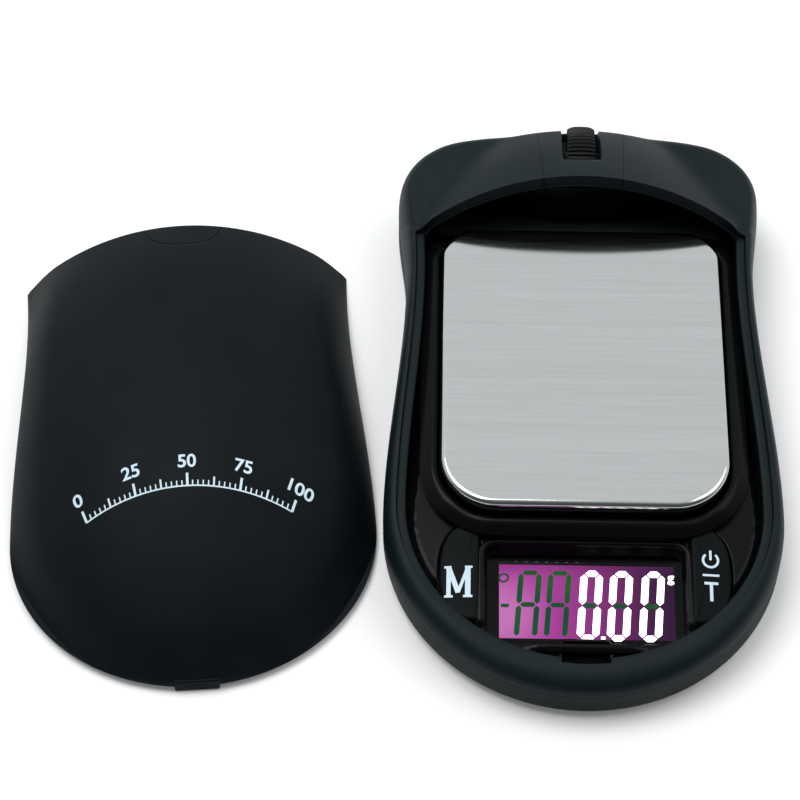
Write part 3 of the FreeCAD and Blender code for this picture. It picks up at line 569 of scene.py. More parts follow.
class PanelLine(Enum):
    """Which inlaid panel's outline runs over a part."""

    NOSE = "nose"
    COVER = "cover"


@dataclass(frozen=True)
class PanelledFinish(Finish):
    """Soft-touch finish with the fine groove round the inlaid panel."""

    line: PanelLine = PanelLine.NOSE
    panel_half: float = 7.1
    panel_depth: float = 6.3

    def dress(self, graph: Graph, colour: object, rough: object, height: object) -> tuple:
        """Darken and sink a groove: two flared sides on the nose, half a superellipse on the cover.

        Args:
            graph: the material's tree.
            colour: colour so far.
            rough: roughness so far.
            height: height so far.

        Returns:
            Colour, roughness and height with the groove.
        """
        x, y = graph.local()
        if self.line is PanelLine.NOSE:
            flare = graph.math("MULTIPLY", graph.math("SUBTRACT", y, 38.0), 0.05)
            edge = graph.math("ADD", flare, self.panel_half)
            gap = graph.math("SUBTRACT", graph.math("ABSOLUTE", x), edge)
            inside = graph.ramp(y, 36.0, 36.5, 0.0, 1.0)
            width = 0.28
        else:
            share = graph.math("DIVIDE", graph.math("ABSOLUTE", x), self.panel_half)
            across = graph.math("POWER", share, 2.4)
            share = graph.math("DIVIDE", graph.math("SUBTRACT", y, 39.0), self.panel_depth)
            deep = graph.math("POWER", graph.math("ABSOLUTE", share), 2.4)
            gap = graph.math("SUBTRACT", graph.math("ADD", across, deep), 1.0)
            inside = 1.0
            width = 0.1
        near = graph.ramp(graph.math("ABSOLUTE", gap), width * 0.35, width, 1.0, 0.0)
        groove = graph.math("MULTIPLY", near, inside)
        darker = graph.mix(graph.math("MULTIPLY", groove, 0.8), colour, (0.002, 0.0025, 0.003, 1.0))
        sunk = graph.math("SUBTRACT", height, graph.math("MULTIPLY", groove, 0.25 * MM))
        return darker, rough, sunk


@dataclass(frozen=True)
class SteelFinish(Finish):
    """Brushed stainless steel: the lines move the roughness too."""

    def dress(self, graph: Graph, colour: object, rough: object, height: object) -> tuple:
        """Roughness follows the brushed lines.

        Args:
            graph: the material's tree.
            colour: colour so far.
            rough: roughness so far; not used.
            height: height so far.

        Returns:
            Colour, roughness by the lines, and height.
        """
        lines = graph.group(Effect.BRUSHING, Scale=self.scale)
        spread = graph.ramp(lines.outputs["Mottle"], 0.3, 0.7, self.roughness * 0.75, self.roughness * 1.3)
        return colour, spread, height


@dataclass(frozen=True)
class GlowFinish(Finish):
    """Lit display field: magenta, pale by its lamp on the left and dark to the right."""

    strength: float = 1.0

    def light(self, graph: Graph, shader: bpy.types.Node) -> None:
        """Glow by place: distance from the lamp sets the colour.

        Args:
            graph: the material's tree.
            shader: its shader.
        """
        x, y = graph.local()
        dx = graph.math("DIVIDE", graph.math("ADD", x, 15.0), 9.0)
        dy = graph.math("DIVIDE", graph.math("ADD", y, 41.0), 8.5)
        square = graph.math("ADD", graph.math("MULTIPLY", dx, dx), graph.math("MULTIPLY", dy, dy))
        lamp = graph.ramp(graph.math("SQRT", square), 0.15, 1.25, 1.0, 0.0)
        fade = graph.ramp(x, -10.0, 15.5, 0.0, 1.0)
        field_colour = graph.mix(fade, (0.46, 0.050, 0.36, 1.0), (0.020, 0.002, 0.028, 1.0))
        lit = graph.mix(graph.math("MULTIPLY", lamp, 0.32), field_colour, (0.95, 0.50, 0.88, 1.0))
        far = graph.ramp(y, -34.0, -30.3, 0.0, 0.45)
        shaded = graph.mix(far, lit, (0.10, 0.01, 0.11, 1.0))
        graph.feed(shader.inputs["Emission Color"], shaded)
        shader.inputs["Emission Strength"].default_value = self.strength


@dataclass(frozen=True)
class InkFinish(Finish):
    """Printed or lit mark, and the pale floor: one colour with a glow of its own, slightly uneven."""

    glow: float = 0.0

    def light(self, graph: Graph, shader: bpy.types.Node) -> None:
        """Even glow in the mark's own colour.

        Args:
            graph: the material's tree.
            shader: its shader.
        """
        tone = graph.group(Effect.HANDLING, Scale=300.0)
        share = graph.ramp(tone.outputs["Mottle"], 0.3, 0.7, 0.0, 0.12)
        graph.feed(shader.inputs["Emission Color"], graph.mix(share, (*self.colour, 1.0), (*self.worn, 1.0)))
        shader.inputs["Emission Strength"].default_value = self.glow


SOFT_CASE = PanelledFinish("soft_case", (0.0020, 0.0074, 0.0090), (0.0028, 0.0088, 0.0106), 0.52,
                           scale=5200.0, relief=0.012, specular=0.15)
SOFT_COVER = PanelledFinish("soft_cover", (0.0020, 0.0046, 0.0062), (0.0028, 0.0056, 0.0074), 0.56,
                            scale=5200.0, relief=0.012, specular=0.09, line=PanelLine.COVER)
LOWER_CASE = Finish("lower_case", (0.0020, 0.0060, 0.0072), (0.0027, 0.0072, 0.0085), 0.55, scale=4200.0,
                    relief=0.014, specular=0.12)
GLOSSY_DECK = Finish("glossy_deck", (0.0018, 0.0022, 0.0024), (0.0026, 0.0031, 0.0033), 0.22, scale=3000.0,
                     relief=0.004, specular=0.09)
# Painted shade: near-black matte on floors, gaps and pockets that look dark only because shade falls in them.
SHADE_BLACK = Finish("painted_shade_black", (0.0015, 0.0016, 0.0018), (0.0025, 0.0026, 0.0028), 0.75, relief=0.01,
                    specular=0.02)
BUTTON_BLACK = Finish("button_black", (0.0030, 0.0044, 0.0050), (0.0040, 0.0055, 0.0062), 0.45, scale=5000.0,
                      relief=0.008, specular=0.05)
TYRE_RUBBER = Finish("tyre_rubber", (0.0050, 0.0054, 0.0056), (0.0070, 0.0074, 0.0076), 0.55, relief=0.012,
                     specular=0.3)
FOOT_RUBBER = Finish("foot_rubber", (0.0150, 0.0150, 0.0155), (0.0220, 0.0220, 0.0220), 0.8, relief=0.02)
INNER_PLASTIC = Finish("inner_plastic", (0.0300, 0.0310, 0.0330), (0.0400, 0.0410, 0.0430), 0.5, relief=0.012)
TRAY_STEEL = SteelFinish("tray_steel", (0.56, 0.575, 0.565), (0.60, 0.615, 0.605), 0.10, 1.0,
                         Effect.BRUSHING, 5200.0, 0.00015)
ALUMINIUM = SteelFinish("bare_aluminium", (0.70, 0.71, 0.72), (0.78, 0.79, 0.80), 0.36, 1.0, Effect.BRUSHING,
                        3800.0, 0.003)
SCREW_STEEL = Finish("screw_steel", (0.42, 0.43, 0.45), (0.55, 0.55, 0.56), 0.3, 1.0, Effect.HANDLING,
                     260.0, 0.004)
GAUGE_FILM = Finish("gauge_film", (0.52, 0.23, 0.04), (0.62, 0.32, 0.08), 0.35, coat=0.5)
WHITE_TAPE = Finish("white_tape", (0.74, 0.73, 0.68), (0.82, 0.81, 0.77), 0.75, relief=0.02)
BOARD_GREEN = Finish("board_green", (0.010, 0.100, 0.034), (0.016, 0.135, 0.050), 0.32, scale=900.0, coat=0.4)
EPOXY_BLACK = Finish("epoxy_black", (0.008, 0.008, 0.008), (0.014, 0.014, 0.014), 0.28, coat=0.3)
CAN_METAL = Finish("can_metal", (0.10, 0.14, 0.22), (0.15, 0.19, 0.27), 0.35, coat=0.3)
DISPLAY_GLASS = Finish("display_glass", (0.0030, 0.0034, 0.0034), (0.0044, 0.0048, 0.0048), 0.15, relief=0.0,
                       specular=0.08)
BACKLIGHT_WHITE = Finish("backlight_white", (0.75, 0.72, 0.76), (0.82, 0.80, 0.83), 0.5)
CONTACT_METAL = Finish("contact_metal", (0.66, 0.62, 0.52), (0.74, 0.71, 0.62), 0.27, 1.0, Effect.HANDLING,
                       300.0, 0.003)
CELL_WRAP = Finish("cell_wrap", (0.13, 0.14, 0.15), (0.18, 0.19, 0.20), 0.3, coat=0.6, effect=Effect.HANDLING,
                   scale=90.0, relief=0.003)
WIRE_RED = Finish("wire_red_jacket", (0.55, 0.020, 0.018), (0.65, 0.035, 0.03), 0.42)
WIRE_GREEN = Finish("wire_green_jacket", (0.02, 0.30, 0.06), (0.03, 0.38, 0.09), 0.42)
WIRE_WHITE = Finish("wire_white_jacket", (0.74, 0.74, 0.72), (0.82, 0.82, 0.80), 0.42)
WIRE_BLACK = Finish("wire_black_jacket", (0.010, 0.010, 0.010), (0.018, 0.018, 0.018), 0.42)
DISPLAY_FIELD = GlowFinish("display_field", (0.010, 0.002, 0.010), (0.012, 0.003, 0.012), 0.3, relief=0.0,
                           specular=0.1, strength=0.85)
LIT_SEGMENT = InkFinish("lit_segment", (1.0, 0.97, 1.0), (0.95, 0.90, 0.97), 0.4, relief=0.0, glow=1.6)
DARK_SEGMENT = InkFinish("dark_segment", (0.003, 0.045, 0.018), (0.012, 0.085, 0.012), 0.4, relief=0.0,
                         glow=0.5, specular=0.05)
PRINTED_INK = InkFinish("printed_ink", (0.52, 0.66, 0.76), (0.60, 0.72, 0.80), 0.55, relief=0.004, glow=0.10)
PALE_FLOOR = InkFinish("floor_pale", (0.90, 0.90, 0.90), (0.92, 0.92, 0.92), 0.7, effect=Effect.HANDLING,
                       scale=2.0, relief=0.0, specular=0.1, glow=0.12)

SLOT_FINISHES: dict[str, Finish] = {
    "case": LOWER_CASE, "deck": GLOSSY_DECK, "inner_plastic": INNER_PLASTIC, "button": BUTTON_BLACK,
    "foot": FOOT_RUBBER, "steel": TRAY_STEEL, "aluminium": ALUMINIUM, "gauge": GAUGE_FILM, "tape": WHITE_TAPE,
    "screw": SCREW_STEEL, "board": BOARD_GREEN, "epoxy": EPOXY_BLACK, "can": CAN_METAL,
    "display": DISPLAY_GLASS, "backlight": BACKLIGHT_WHITE, "contact": CONTACT_METAL,
    "battery": CELL_WRAP, "wire_red": WIRE_RED, "wire_green": WIRE_GREEN,
    "wire_white": WIRE_WHITE, "wire_black": WIRE_BLACK,
}


# ---------------------------------------------------------------- pieces


@dataclass(frozen=True)
class Place:
    """Where a sub-assembly stands: from its own millimetres to the frame's metres.

    Attributes:
        origin: place of its own origin, in metres.
        turn: degrees anticlockwise seen from above.
        pitch: degrees that its tail is lifted.
    """

    origin: tuple[float, float, float]
    turn: float = 0.0
    pitch: float = 0.0

    def matrix(self) -> Array:
        """Rotation: the pitch about x, then the turn about z."""
        a, b = math.radians(self.turn), math.radians(-self.pitch)
        about_z = np.array([[math.cos(a), -math.sin(a), 0], [math.sin(a), math.cos(a), 0], [0, 0, 1]])
        about_x = np.array([[1, 0, 0], [0, math.cos(b), -math.sin(b)], [0, math.sin(b), math.cos(b)]])
        return about_z @ about_x

    def out(self, points: Array) -> Array:
        """Own millimetres to frame metres."""
        return points @ self.matrix().T * MM + np.array(self.origin)

    def back(self, points: Array) -> Array:
        """Frame metres to own millimetres."""
        return (points - np.array(self.origin)) @ self.matrix() / MM


@dataclass
class Piece:
    """One visible piece, gathered from grids of points and then built as a mesh.

    Attributes:
        name: the piece's name.
        body: the body it moves with.
        finish: its finish.
        slot: the record's material slot; not used.
        place: where its sub-assembly stands.
        closed: whether its surface encloses it, so its normals can be recalculated.
        sharp: angle in degrees past which an edge is shaded sharp.
    """

    name: str
    body: str
    finish: Finish
    slot: str
    place: Place
    closed: bool = True
    sharp: float = 38.0
    points: list[Array] = field(default_factory=list)
    faces: list[list[int]] = field(default_factory=list)
    count: int = 0

    def add(self, points: Array, quads: Array) -> "Piece":
        """Add points, a row each, and the faces over them.

        Args:
            points: points, a row each.
            quads: corner numbers of each face.

        Returns:
            The piece itself.
        """
        self.points.append(points.reshape(-1, 3))
        self.faces.extend((quads + self.count).tolist())
        self.count += len(self.points[-1])
        return self

    def grid(self, points: Array, round_rows: bool = True, round_columns: bool = False,
             flip: bool = False) -> "Piece":
        """Add a grid of points with its quads.

        Args:
            points: grid of points.
            round_rows: whether the last row joins the first.
            round_columns: whether the last column joins the first.
            flip: whether to turn the faces over.

        Returns:
            The piece itself.
        """
        quads = grid_quads(points.shape[0], points.shape[1], round_rows, round_columns)
        return self.add(points, quads[:, ::-1] if flip else quads)

    def finish_mesh(self, replaces: tuple[str, ...] = ()) -> bpy.types.Object:
        """Build the mesh, merge its doubles, shade and dress it, and let it ride on its body.

        Args:
            replaces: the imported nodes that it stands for.

        Returns:
            The new object.
        """
        mesh = bpy.data.meshes.new(self.name)
        mesh.from_pydata(self.place.out(np.concatenate(self.points)).tolist(), [], self.faces)
        return settle(mesh, self, replaces)


def settle(mesh: bpy.types.Mesh, piece: Piece, replaces: tuple[str, ...]) -> bpy.types.Object:
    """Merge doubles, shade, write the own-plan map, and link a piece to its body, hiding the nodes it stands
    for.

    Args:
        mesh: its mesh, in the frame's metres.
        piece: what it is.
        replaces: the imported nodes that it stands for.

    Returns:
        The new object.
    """
    work = bmesh.new()
    work.from_mesh(mesh)
    bmesh.ops.remove_doubles(work, verts=work.verts, dist=2e-6)
    bmesh.ops.dissolve_degenerate(work, edges=work.edges, dist=1e-7)
    if piece.closed:
        bmesh.ops.recalc_face_normals(work, faces=work.faces)
    work.to_mesh(mesh)
    work.free()
    mesh.polygons.foreach_set("use_smooth", np.ones(len(mesh.polygons), bool))
    mesh.set_sharp_from_angle(angle=math.radians(piece.sharp))
    places = np.zeros(len(mesh.vertices) * 3)
    mesh.vertices.foreach_get("co", places)
    corners = np.zeros(len(mesh.loops), int)
    mesh.loops.foreach_get("vertex_index", corners)
    plan = piece.place.back(places.reshape(-1, 3))[corners][:, :2] / 100.0 + 0.5
    mesh.uv_layers.new(name="own_plan").uv.foreach_set("vector", plan.astype(np.float32).ravel())
    mesh.materials.append(piece.finish.material())
    made = bpy.data.objects.new(piece.name, mesh)
    bpy.context.scene.collection.objects.link(made)
    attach(made, piece.body)
    if replaces:
        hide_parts(*replaces)
    LOG.info("%s on %s: %d faces", piece.name, piece.body, len(mesh.polygons))
    return made


def smoothed(node: str, name: str, body: str, finish: Finish, slot: str, place: Place,
             sharp: float = 30.0) -> bpy.types.Object:
    """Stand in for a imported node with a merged, smoothly shaded copy of its mesh.

    Args:
        node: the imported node.
        name: the copy's name.
        body: the body it moves with.
        finish: its finish.
        slot: the record's material slot.
        place: where its sub-assembly stands.
        sharp: angle in degrees past which an edge is shaded sharp.

    Returns:
        The new object.
    """
    mesh = frame["nodes"][node].data.copy()
    mesh.materials.clear()
    for layer in list(mesh.uv_layers):
        mesh.uv_layers.remove(layer)
    return settle(mesh, Piece(name, body, finish, slot, place, closed=False, sharp=sharp), (node,))


# ---------------------------------------------------------------- the case's common shape


@dataclass(frozen=True)
class Outline:
    """Mouse-shaped outline: an elliptic tail, then a side through a waist to the nose, in millimetres."""

    half: float
    tail: float
    waist: float
    nose: float
    centre: float = -21.0
    waist_y: float = 27.0
    nose_y: float = 46.0

    def side(self, y: Array) -> Array:
        """Half width at y: a smooth step from the widest to the waist, and one on to the nose.

        Args:
            y: places along the outline.

        Returns:
            Half width at each.
        """
        narrow = smooth((y - self.centre) / (self.waist_y - self.centre))
        widen = smooth((y - self.waist_y) / (self.nose_y - self.waist_y))
        return self.half + (self.waist - self.half) * narrow + (self.nose - self.waist) * widen

    def run(self, angles: Array, heights: Array) -> Array:
        """Right half from the tail's end: the ellipse over the angles, then the side over y."""
        tail = np.stack([self.half * np.cos(angles), self.centre + self.tail * np.sin(angles)], -1)
        return np.concatenate([tail, np.stack([self.side(heights), heights], -1)])

    def holds(self, x: Array, y: Array) -> Array:
        """Whether each place is inside the outline."""
        tail = (x / self.half) ** 2 + ((y - self.centre) / self.tail) ** 2 < 1
        return np.where(y < self.centre, tail, np.abs(x) < self.side(y))


@dataclass(frozen=True)
class Form:
    """The curves that nose, rim and cover share, in the scale's own millimetres."""

    case: Outline = Outline(35.2, 35.2, 32.0, 33.7)
    seat: Outline = Outline(32.9, 30.6, 30.2, 30.8)
    ledge: Outline = Outline(31.2, 28.9, 28.5, 29.1)
    rim_y: float = -51.6
    rim_z: float = 10.6
    rim_slope: float = 4.27
    parting: float = 7.0
    parting_gap: float = 0.12
    rim_end: float = 37.0
    corner: tuple[float, float] = (23.5, 57.6)
    corner_heading: tuple[float, float] = (-0.970, 0.2425)
    front: float = 59.0
    arch_y: float = 39.1
    arch_radius: float = 110.3
    dome_y: float = 8.0
    dome_z: float = -5.0
    dome_width: float = 43.0
    dome_length: float = 66.8
    dome_rise: float = 38.0

    def rim(self, y: Array) -> Array:
        """Height of the sloping rim: a straight climb from tail to nose."""
        return self.rim_z + math.tan(math.radians(self.rim_slope)) * (y - self.rim_y)

    def dome(self, x: Array, y: Array, shrink: float = 0.0) -> Array:
        """Height of the ellipsoid over nose and cover, its three half axes shrunk alike.

        Args:
            x: places across.
            y: places along.
            shrink: how much every half axis is shrunk.

        Returns:
            Heights.
        """
        along = ((y - self.dome_y) / (self.dome_length - shrink)) ** 2
        left = 1 - (x / (self.dome_width - shrink)) ** 2 - along
        return self.dome_z + (self.dome_rise - shrink) * np.sqrt(np.clip(left, 0.0, None))

    def arch(self, x: Array, grow: float = 0.0) -> Array:
        """y of the nose's rear edge at x: a circle's far side, its radius grown a little."""
        radius = self.arch_radius + grow
        return self.arch_y - self.arch_radius + np.sqrt(radius**2 - x**2)

    def nose_top(self, x: Array, y: Array, share: Array) -> Array:
        """Height of the nose before its shoulder: the rim, raised softly to the dome where that is higher.

        Args:
            x: places across.
            y: places along.
            share: share of nose at each.

        Returns:
            Heights.
        """
        above = self.dome(x, y) - self.rim(y)
        return self.rim(y) + share * ((above + np.sqrt(above**2 + 1.0)) / 2 - 0.05)


FORM = Form()
NOTCH_HALF = 4.15
SEAT_END = 34.8
PANEL_X = 8.0


@dataclass
class UpperCase:
    """Rim, cover's ledge and domed nose, as one skin, with the bead along the nose's rear edge."""

    place: Place
    nose_shoulder: float = 4.4
    fullness: float = 2.3
    pit_half: float = 3.2
    pit_wall: float = 0.35
    pit_near: float = 44.6
    pit_far: float = 57.4
    pit_bottom: float = 16.8
    wall: float = 1.5
    under: float = 2.3
    bead_half: float = 27.5
    bead_drop: float = 2.8
    bead_radius: float = 0.34
    tail_steps: int = 60
    side_steps: int = 66
    nose_steps: int = 60

    def paths(self) -> tuple[Array, Array, Array, Array]:
        """Paired right halves of the outline, the seat or arch edge, and the ledge's inner edge.

        Returns:
            Outer, inner and ledge points, and the share of nose at each.
        """
        notch = np.degrees(np.arcsin(np.array([3.9, 4.05, 4.12, 4.2, 4.35]) / FORM.ledge.half))
        angles = np.radians(np.unique(np.concatenate([np.linspace(-90, 0, self.tail_steps), notch - 90])))
        corner_y = FORM.arch(FORM.seat.side(np.array(SEAT_END)))
        centre = FORM.case.centre
        outer = FORM.case.run(angles, np.linspace(centre, FORM.rim_end, self.side_steps)[1:])
        heights = np.linspace(centre, float(corner_y), self.side_steps)[1:]
        inner, ledge = FORM.seat.run(angles, heights), FORM.ledge.run(angles, heights)
        flank = np.linspace(FORM.rim_end, FORM.case.nose_y, 30)
        widest, turn = (FORM.case.nose, FORM.case.nose_y), FORM.corner_heading
        front = np.concatenate([np.stack([FORM.case.side(flank), flank], -1),
                                cubic(widest, FORM.corner, (0.0, 1.0), turn, 17.0, 200)[1:],
                                cubic(FORM.corner, (0.0, FORM.front), turn, (-1.0, 0.0), 23.6, 400)[1:]])
        run = np.concatenate([[0.0], np.cumsum(np.linalg.norm(np.diff(front, axis=0), axis=1))])
        panel = np.interp(-PANEL_X, -front[:, 0], run)
        first = resample(front, np.linspace(0, panel / run[-1], self.nose_steps)[1:])
        middle_x = np.concatenate([np.linspace(PANEL_X, 4.2, 9)[1:], np.linspace(4.0, 3.0, 9),
                                   np.linspace(2.6, 0, 7)])
        second = np.stack([middle_x, np.interp(-middle_x, -front[:, 0], front[:, 1])], -1)
        share = np.linspace(0, 1, self.nose_steps)[1:]
        near_x = np.concatenate([inner[-1, 0] + (PANEL_X - inner[-1, 0]) * share, middle_x])
        nose_inner = np.stack([near_x, FORM.arch(near_x)], -1)
        weight = smooth(np.concatenate([share * 0.75, np.ones(len(middle_x))]) / 0.10)[:, None]
        inward = (1 - weight) * np.array([-1.0, 0.0]) + weight * np.array([0.0, -1.0])
        inward /= np.linalg.norm(inward, axis=1, keepdims=True)
        nose_ledge = nose_inner + inward * (1.7 - 1.4 * weight)
        nose_share = np.concatenate([np.zeros(len(inner)), weight[:, 0]])
        return (np.concatenate([outer, first, second]), np.concatenate([inner, nose_inner]),
                np.concatenate([ledge, nose_ledge]), nose_share)

    def top(self, plan: Array, distance: Array, radius: Array, share: Array) -> Array:
        """Height of the skin: the shoulder carries it from the parting line, and the wheel's pit is sunk.

        Args:
            plan: places, the last axis x and y.
            distance: distance from the outline.
            radius: where the shoulder ends.
            share: share of nose at each place.

        Returns:
            Heights.
        """
        x, y = plan[..., 0], plan[..., 1]
        full = FORM.nose_top(x, y, share)
        low = FORM.parting + FORM.parting_gap
        height = low + (full - low) * shoulder(distance, radius, self.fullness)
        across = smooth((self.pit_half + self.pit_wall - np.abs(x)) / 0.4)
        along = smooth((y - self.pit_near) / 3.4) * smooth((self.pit_far - y) / 0.9)
        return height - across * along * np.clip(height - self.pit_bottom, 0, None)

    def skin(self) -> bpy.types.Object:
        """Closed skin: out over the shoulder, down the seat, along the ledge and back underneath."""
        outer, inner, ledge, share = self.paths()
        outer, inner, ledge = mirrored(outer), mirrored(inner), mirrored(ledge)
        share = np.concatenate([share, share[::-1][1:-1]])
        length = np.linalg.norm(inner - outer, axis=1)
        radius = np.minimum(self.nose_shoulder, 0.92 * length)
        bend = np.linspace(0, math.pi / 2, 15)
        rounded = radius[:, None] * (1 - np.cos(bend))[None, :]
        flat = radius[:, None] + (length - radius)[:, None] * np.linspace(0, 1, 19)[None, 1:]
        distance = np.concatenate([rounded, flat], 1)
        plan = outer[:, None, :] + (inner - outer)[:, None, :] * (distance / length[:, None])[..., None]
        over_top = self.top(plan, distance, radius[:, None], share[:, None])
        over = np.concatenate([plan, over_top[..., None]], -1)

        # the lip and ledge: share of the way to the ledge's inner edge, drop at the side, drop at the nose
        steps = np.array([(0.02, -0.06, -0.05), (0.05, -0.22, -0.25), (0.06, -0.80, -1.80),
                          (0.14, -1.00, -2.20), (0.50, -1.03, -2.34), (0.84, -1.00, -2.40),
                          (0.95, -1.12, -2.42), (1.00, -1.40, -2.50), (1.00, -2.30, -2.65)])
        notch = smooth((NOTCH_HALF + 0.06 - np.abs(ledge[:, 0])) / 0.12) * (ledge[:, 1] < 0)
        reach = steps[None, :, 0] * (1 - 0.93 * notch[:, None])
        drop = steps[None, :, 1] + (steps[:, 2] - steps[:, 1])[None, :] * share[:, None]
        lip_plan = inner[:, None, :] + (ledge - inner)[:, None, :] * reach[..., None]
        edge = over[:, -1, 2]
        lip = np.concatenate([lip_plan, (edge[:, None] + drop)[..., None]], -1)

        under_share = np.array([0.92, 0.70, 0.45])
        under_plan = outer[:, None, :] + (inner - outer)[:, None, :] * under_share[None, :, None]
        under_distance = length[:, None] * under_share[None, :]
        under_top = self.top(under_plan, under_distance, radius[:, None], share[:, None])
        sunk = np.clip(under_top - self.under, FORM.parting + 0.4, None)
        under = np.concatenate([under_plan, sunk[..., None]], -1)
        unit = (inner - outer) / length[:, None]
        low = np.full((len(outer), 1), FORM.parting + FORM.parting_gap)
        foot = np.concatenate([outer + unit * self.wall, low], -1)[:, None]
        rows = np.concatenate([over, lip, under, foot], 1)
        piece = Piece("case_upper_skin", "case", SOFT_CASE, "case", self.place)
        return piece.grid(rows, True, True).finish_mesh(("upper_shell",))

    def lip_bead(self) -> bpy.types.Object:
        """Thin bead under the nose's rear edge, a round section carried along the arch."""
        x = np.linspace(-self.bead_half, self.bead_half, 160)
        y = FORM.arch(x, 0.25)
        z = FORM.nose_top(x, y, np.ones_like(x)) - self.bead_drop
        angle = np.linspace(0, 2 * math.pi, 11)[:-1]
        swell = self.bead_radius * np.sqrt(np.clip(1 - (x / self.bead_half) ** 4, 0, 1))[:, None]
        rows = np.stack([np.broadcast_to(x[:, None], (160, 10)), y[:, None] + swell * np.cos(angle),
                         z[:, None] + swell * np.sin(angle)], -1)
        return Piece("case_lip_bead", "case", GLOSSY_DECK, "deck", self.place).grid(
            rows, False, True).finish_mesh()

    def build(self) -> None:
        """Build the skin and the bead."""
        self.skin()
        self.lip_bead()


@dataclass
class Deck:
    """Inner deck: sloping plate, the tray's raised border, the display's recess, the wall under the nose."""

    place: Place
    slope: float = 9.0
    slope_start: float = -23.0
    level: float = 13.2
    valley_depth: float = 1.6
    valley_width: float = 2.2
    valley_middle: float = -12.0
    valley_length: float = 17.0
    well_half: float = 25.75
    well_near: float = -24.5
    well_far: float = 36.3
    recess_half: float = 17.6
    recess_near: float = -47.0
    recess_far: float = -28.3
    gap_floor: float = 12.6
    wall_low: float = 15.2
    wall_half: float = 29.5

    def height(self, x: Array, y: Array) -> Array:
        """Deck's height: level beside the tray, sloping to the tail, with a valley along the ledge.

        Args:
            x: places across.
            y: places along.

        Returns:
            Heights.
        """
        fall = np.clip(self.slope_start - y, 0, None)
        soft = fall**2 / (fall + 1.5)
        plate = self.level - math.tan(math.radians(self.slope)) * soft
        heights = np.linspace(FORM.ledge.centre, 60, 260)[1:]
        line = mirrored(FORM.ledge.run(np.radians(np.linspace(-90, 0, 160)), heights))
        inside = np.where(FORM.ledge.holds(x, y), edge_distance(np.stack([x, y], -1), line), 0.0)
        swell = np.exp(-(((y - self.valley_middle) / self.valley_length) ** 2))
        deep = self.valley_depth + 2.6 * swell
        width = self.valley_width + 1.2 * swell
        valley = deep * (1 - smooth(inside / width))
        return np.minimum(plate - valley, FORM.rim(y) - 1.5)

    def plate(self) -> bpy.types.Object:
        """Plate over a square grid, left open at the tray, the display, the buttons and the notch."""
        x, y = np.meshgrid(np.linspace(-32.4, 32.4, 163), np.linspace(-51.5, 38.5, 226), indexing="ij")
        points = np.stack([x, y, self.height(x, y)], -1)
        quads = grid_quads(*x.shape, False, False)
        middle = points.reshape(-1, 3)[quads].mean(axis=1)
        mx, my = middle[:, 0], middle[:, 1]
        seat, margin = FORM.seat, 0.4
        case = Outline(seat.half - margin, seat.tail - margin, seat.waist - margin, seat.nose - margin)
        keep = case.holds(mx, my)
        keep &= ~((np.abs(mx) < self.well_half + 1.0) & (my > self.well_near - 1.0))
        corner = (np.abs(mx) > 18) & (my < -16) & (np.hypot(np.abs(mx) - 15.35, my + 14.1) > 11.6)
        keep |= case.holds(mx, my) & corner & (my > self.well_near - 1.0)
        beside = np.abs(mx) < self.recess_half + 0.5
        keep &= ~(beside & (my > self.recess_near - 0.5) & (my < self.recess_far + 0.5))
        keep &= ~((np.abs(mx) < NOTCH_HALF + 0.3) & (my < -46.6))
        for sign in (1, -1):
            loop = Button.outline(sign)
            keep &= ~(inside_loop(mx, my, loop) | (edge_distance(middle[:, :2], dense(loop)) < 0.45))
        piece = Piece("deck_plate", "case", GLOSSY_DECK, "deck", self.place, closed=False)
        return piece.add(points, quads[keep]).finish_mesh(("inner_deck",))

    def border(self) -> bpy.types.Object:
        """Raised border round the tray: a crowned profile carried round the well."""
        loop = dense(rounded_rectangle(self.well_half, self.well_near, self.well_far, 10.4, 6.7, 24))
        offsets = np.array([0.0, 0.0, 0.10, 0.35, 0.75, 1.25, 1.85, 2.5, 3.1, 3.1, 0.8])
        raised = np.array([9.0, 13.75, 14.05, 14.28, 14.36, 14.22, 13.85, 13.35, 12.9, 11.5, 9.0])
        far = smooth((loop[:, 1] - 33.0) / 3.0)[:, None]
        low = 0.45 * smooth((-21.0 - loop[:, 1]) / 3.0)[:, None]
        heights = raised[None, :] - (2.6 * far + low) * (raised > 9.5)[None, :]
        piece = Piece("deck_tray_border", "case", GLOSSY_DECK, "deck", self.place)
        return piece.grid(sweep(loop, offsets, heights), True, True).finish_mesh()

    def recess(self) -> bpy.types.Object:
        """Frame round the display: a lip on the plate, then steep walls down to the glass."""
        loop = dense(rounded_rectangle(self.recess_half, self.recess_near, self.recess_far, 1.2, 2.2, 10))
        offsets = np.array([1.5, 1.1, 0.7, 0.35, 0.1, -0.05, -0.15, -0.35, -0.7, 1.0])
        lift = np.array([-0.35, 0.06, 0.18, 0.20, 0.10, -0.12, -0.5])
        plan = loop[:, None, :] + outward(loop)[:, None, :] * offsets[None, :7, None]
        level = self.height(plan[..., 0], plan[..., 1])
        level = np.maximum(level, self.height(loop[:, 0], loop[:, 1])[:, None] - 0.1)
        upper = level + lift
        floor = np.broadcast_to(np.array([8.75, 8.36, 7.9]), (len(loop), 3))
        heights = np.concatenate([np.maximum(upper, 8.9), floor], 1)
        piece = Piece("deck_display_recess", "case", GLOSSY_DECK, "deck", self.place)
        return piece.grid(sweep(loop, offsets, heights), True, True).finish_mesh()

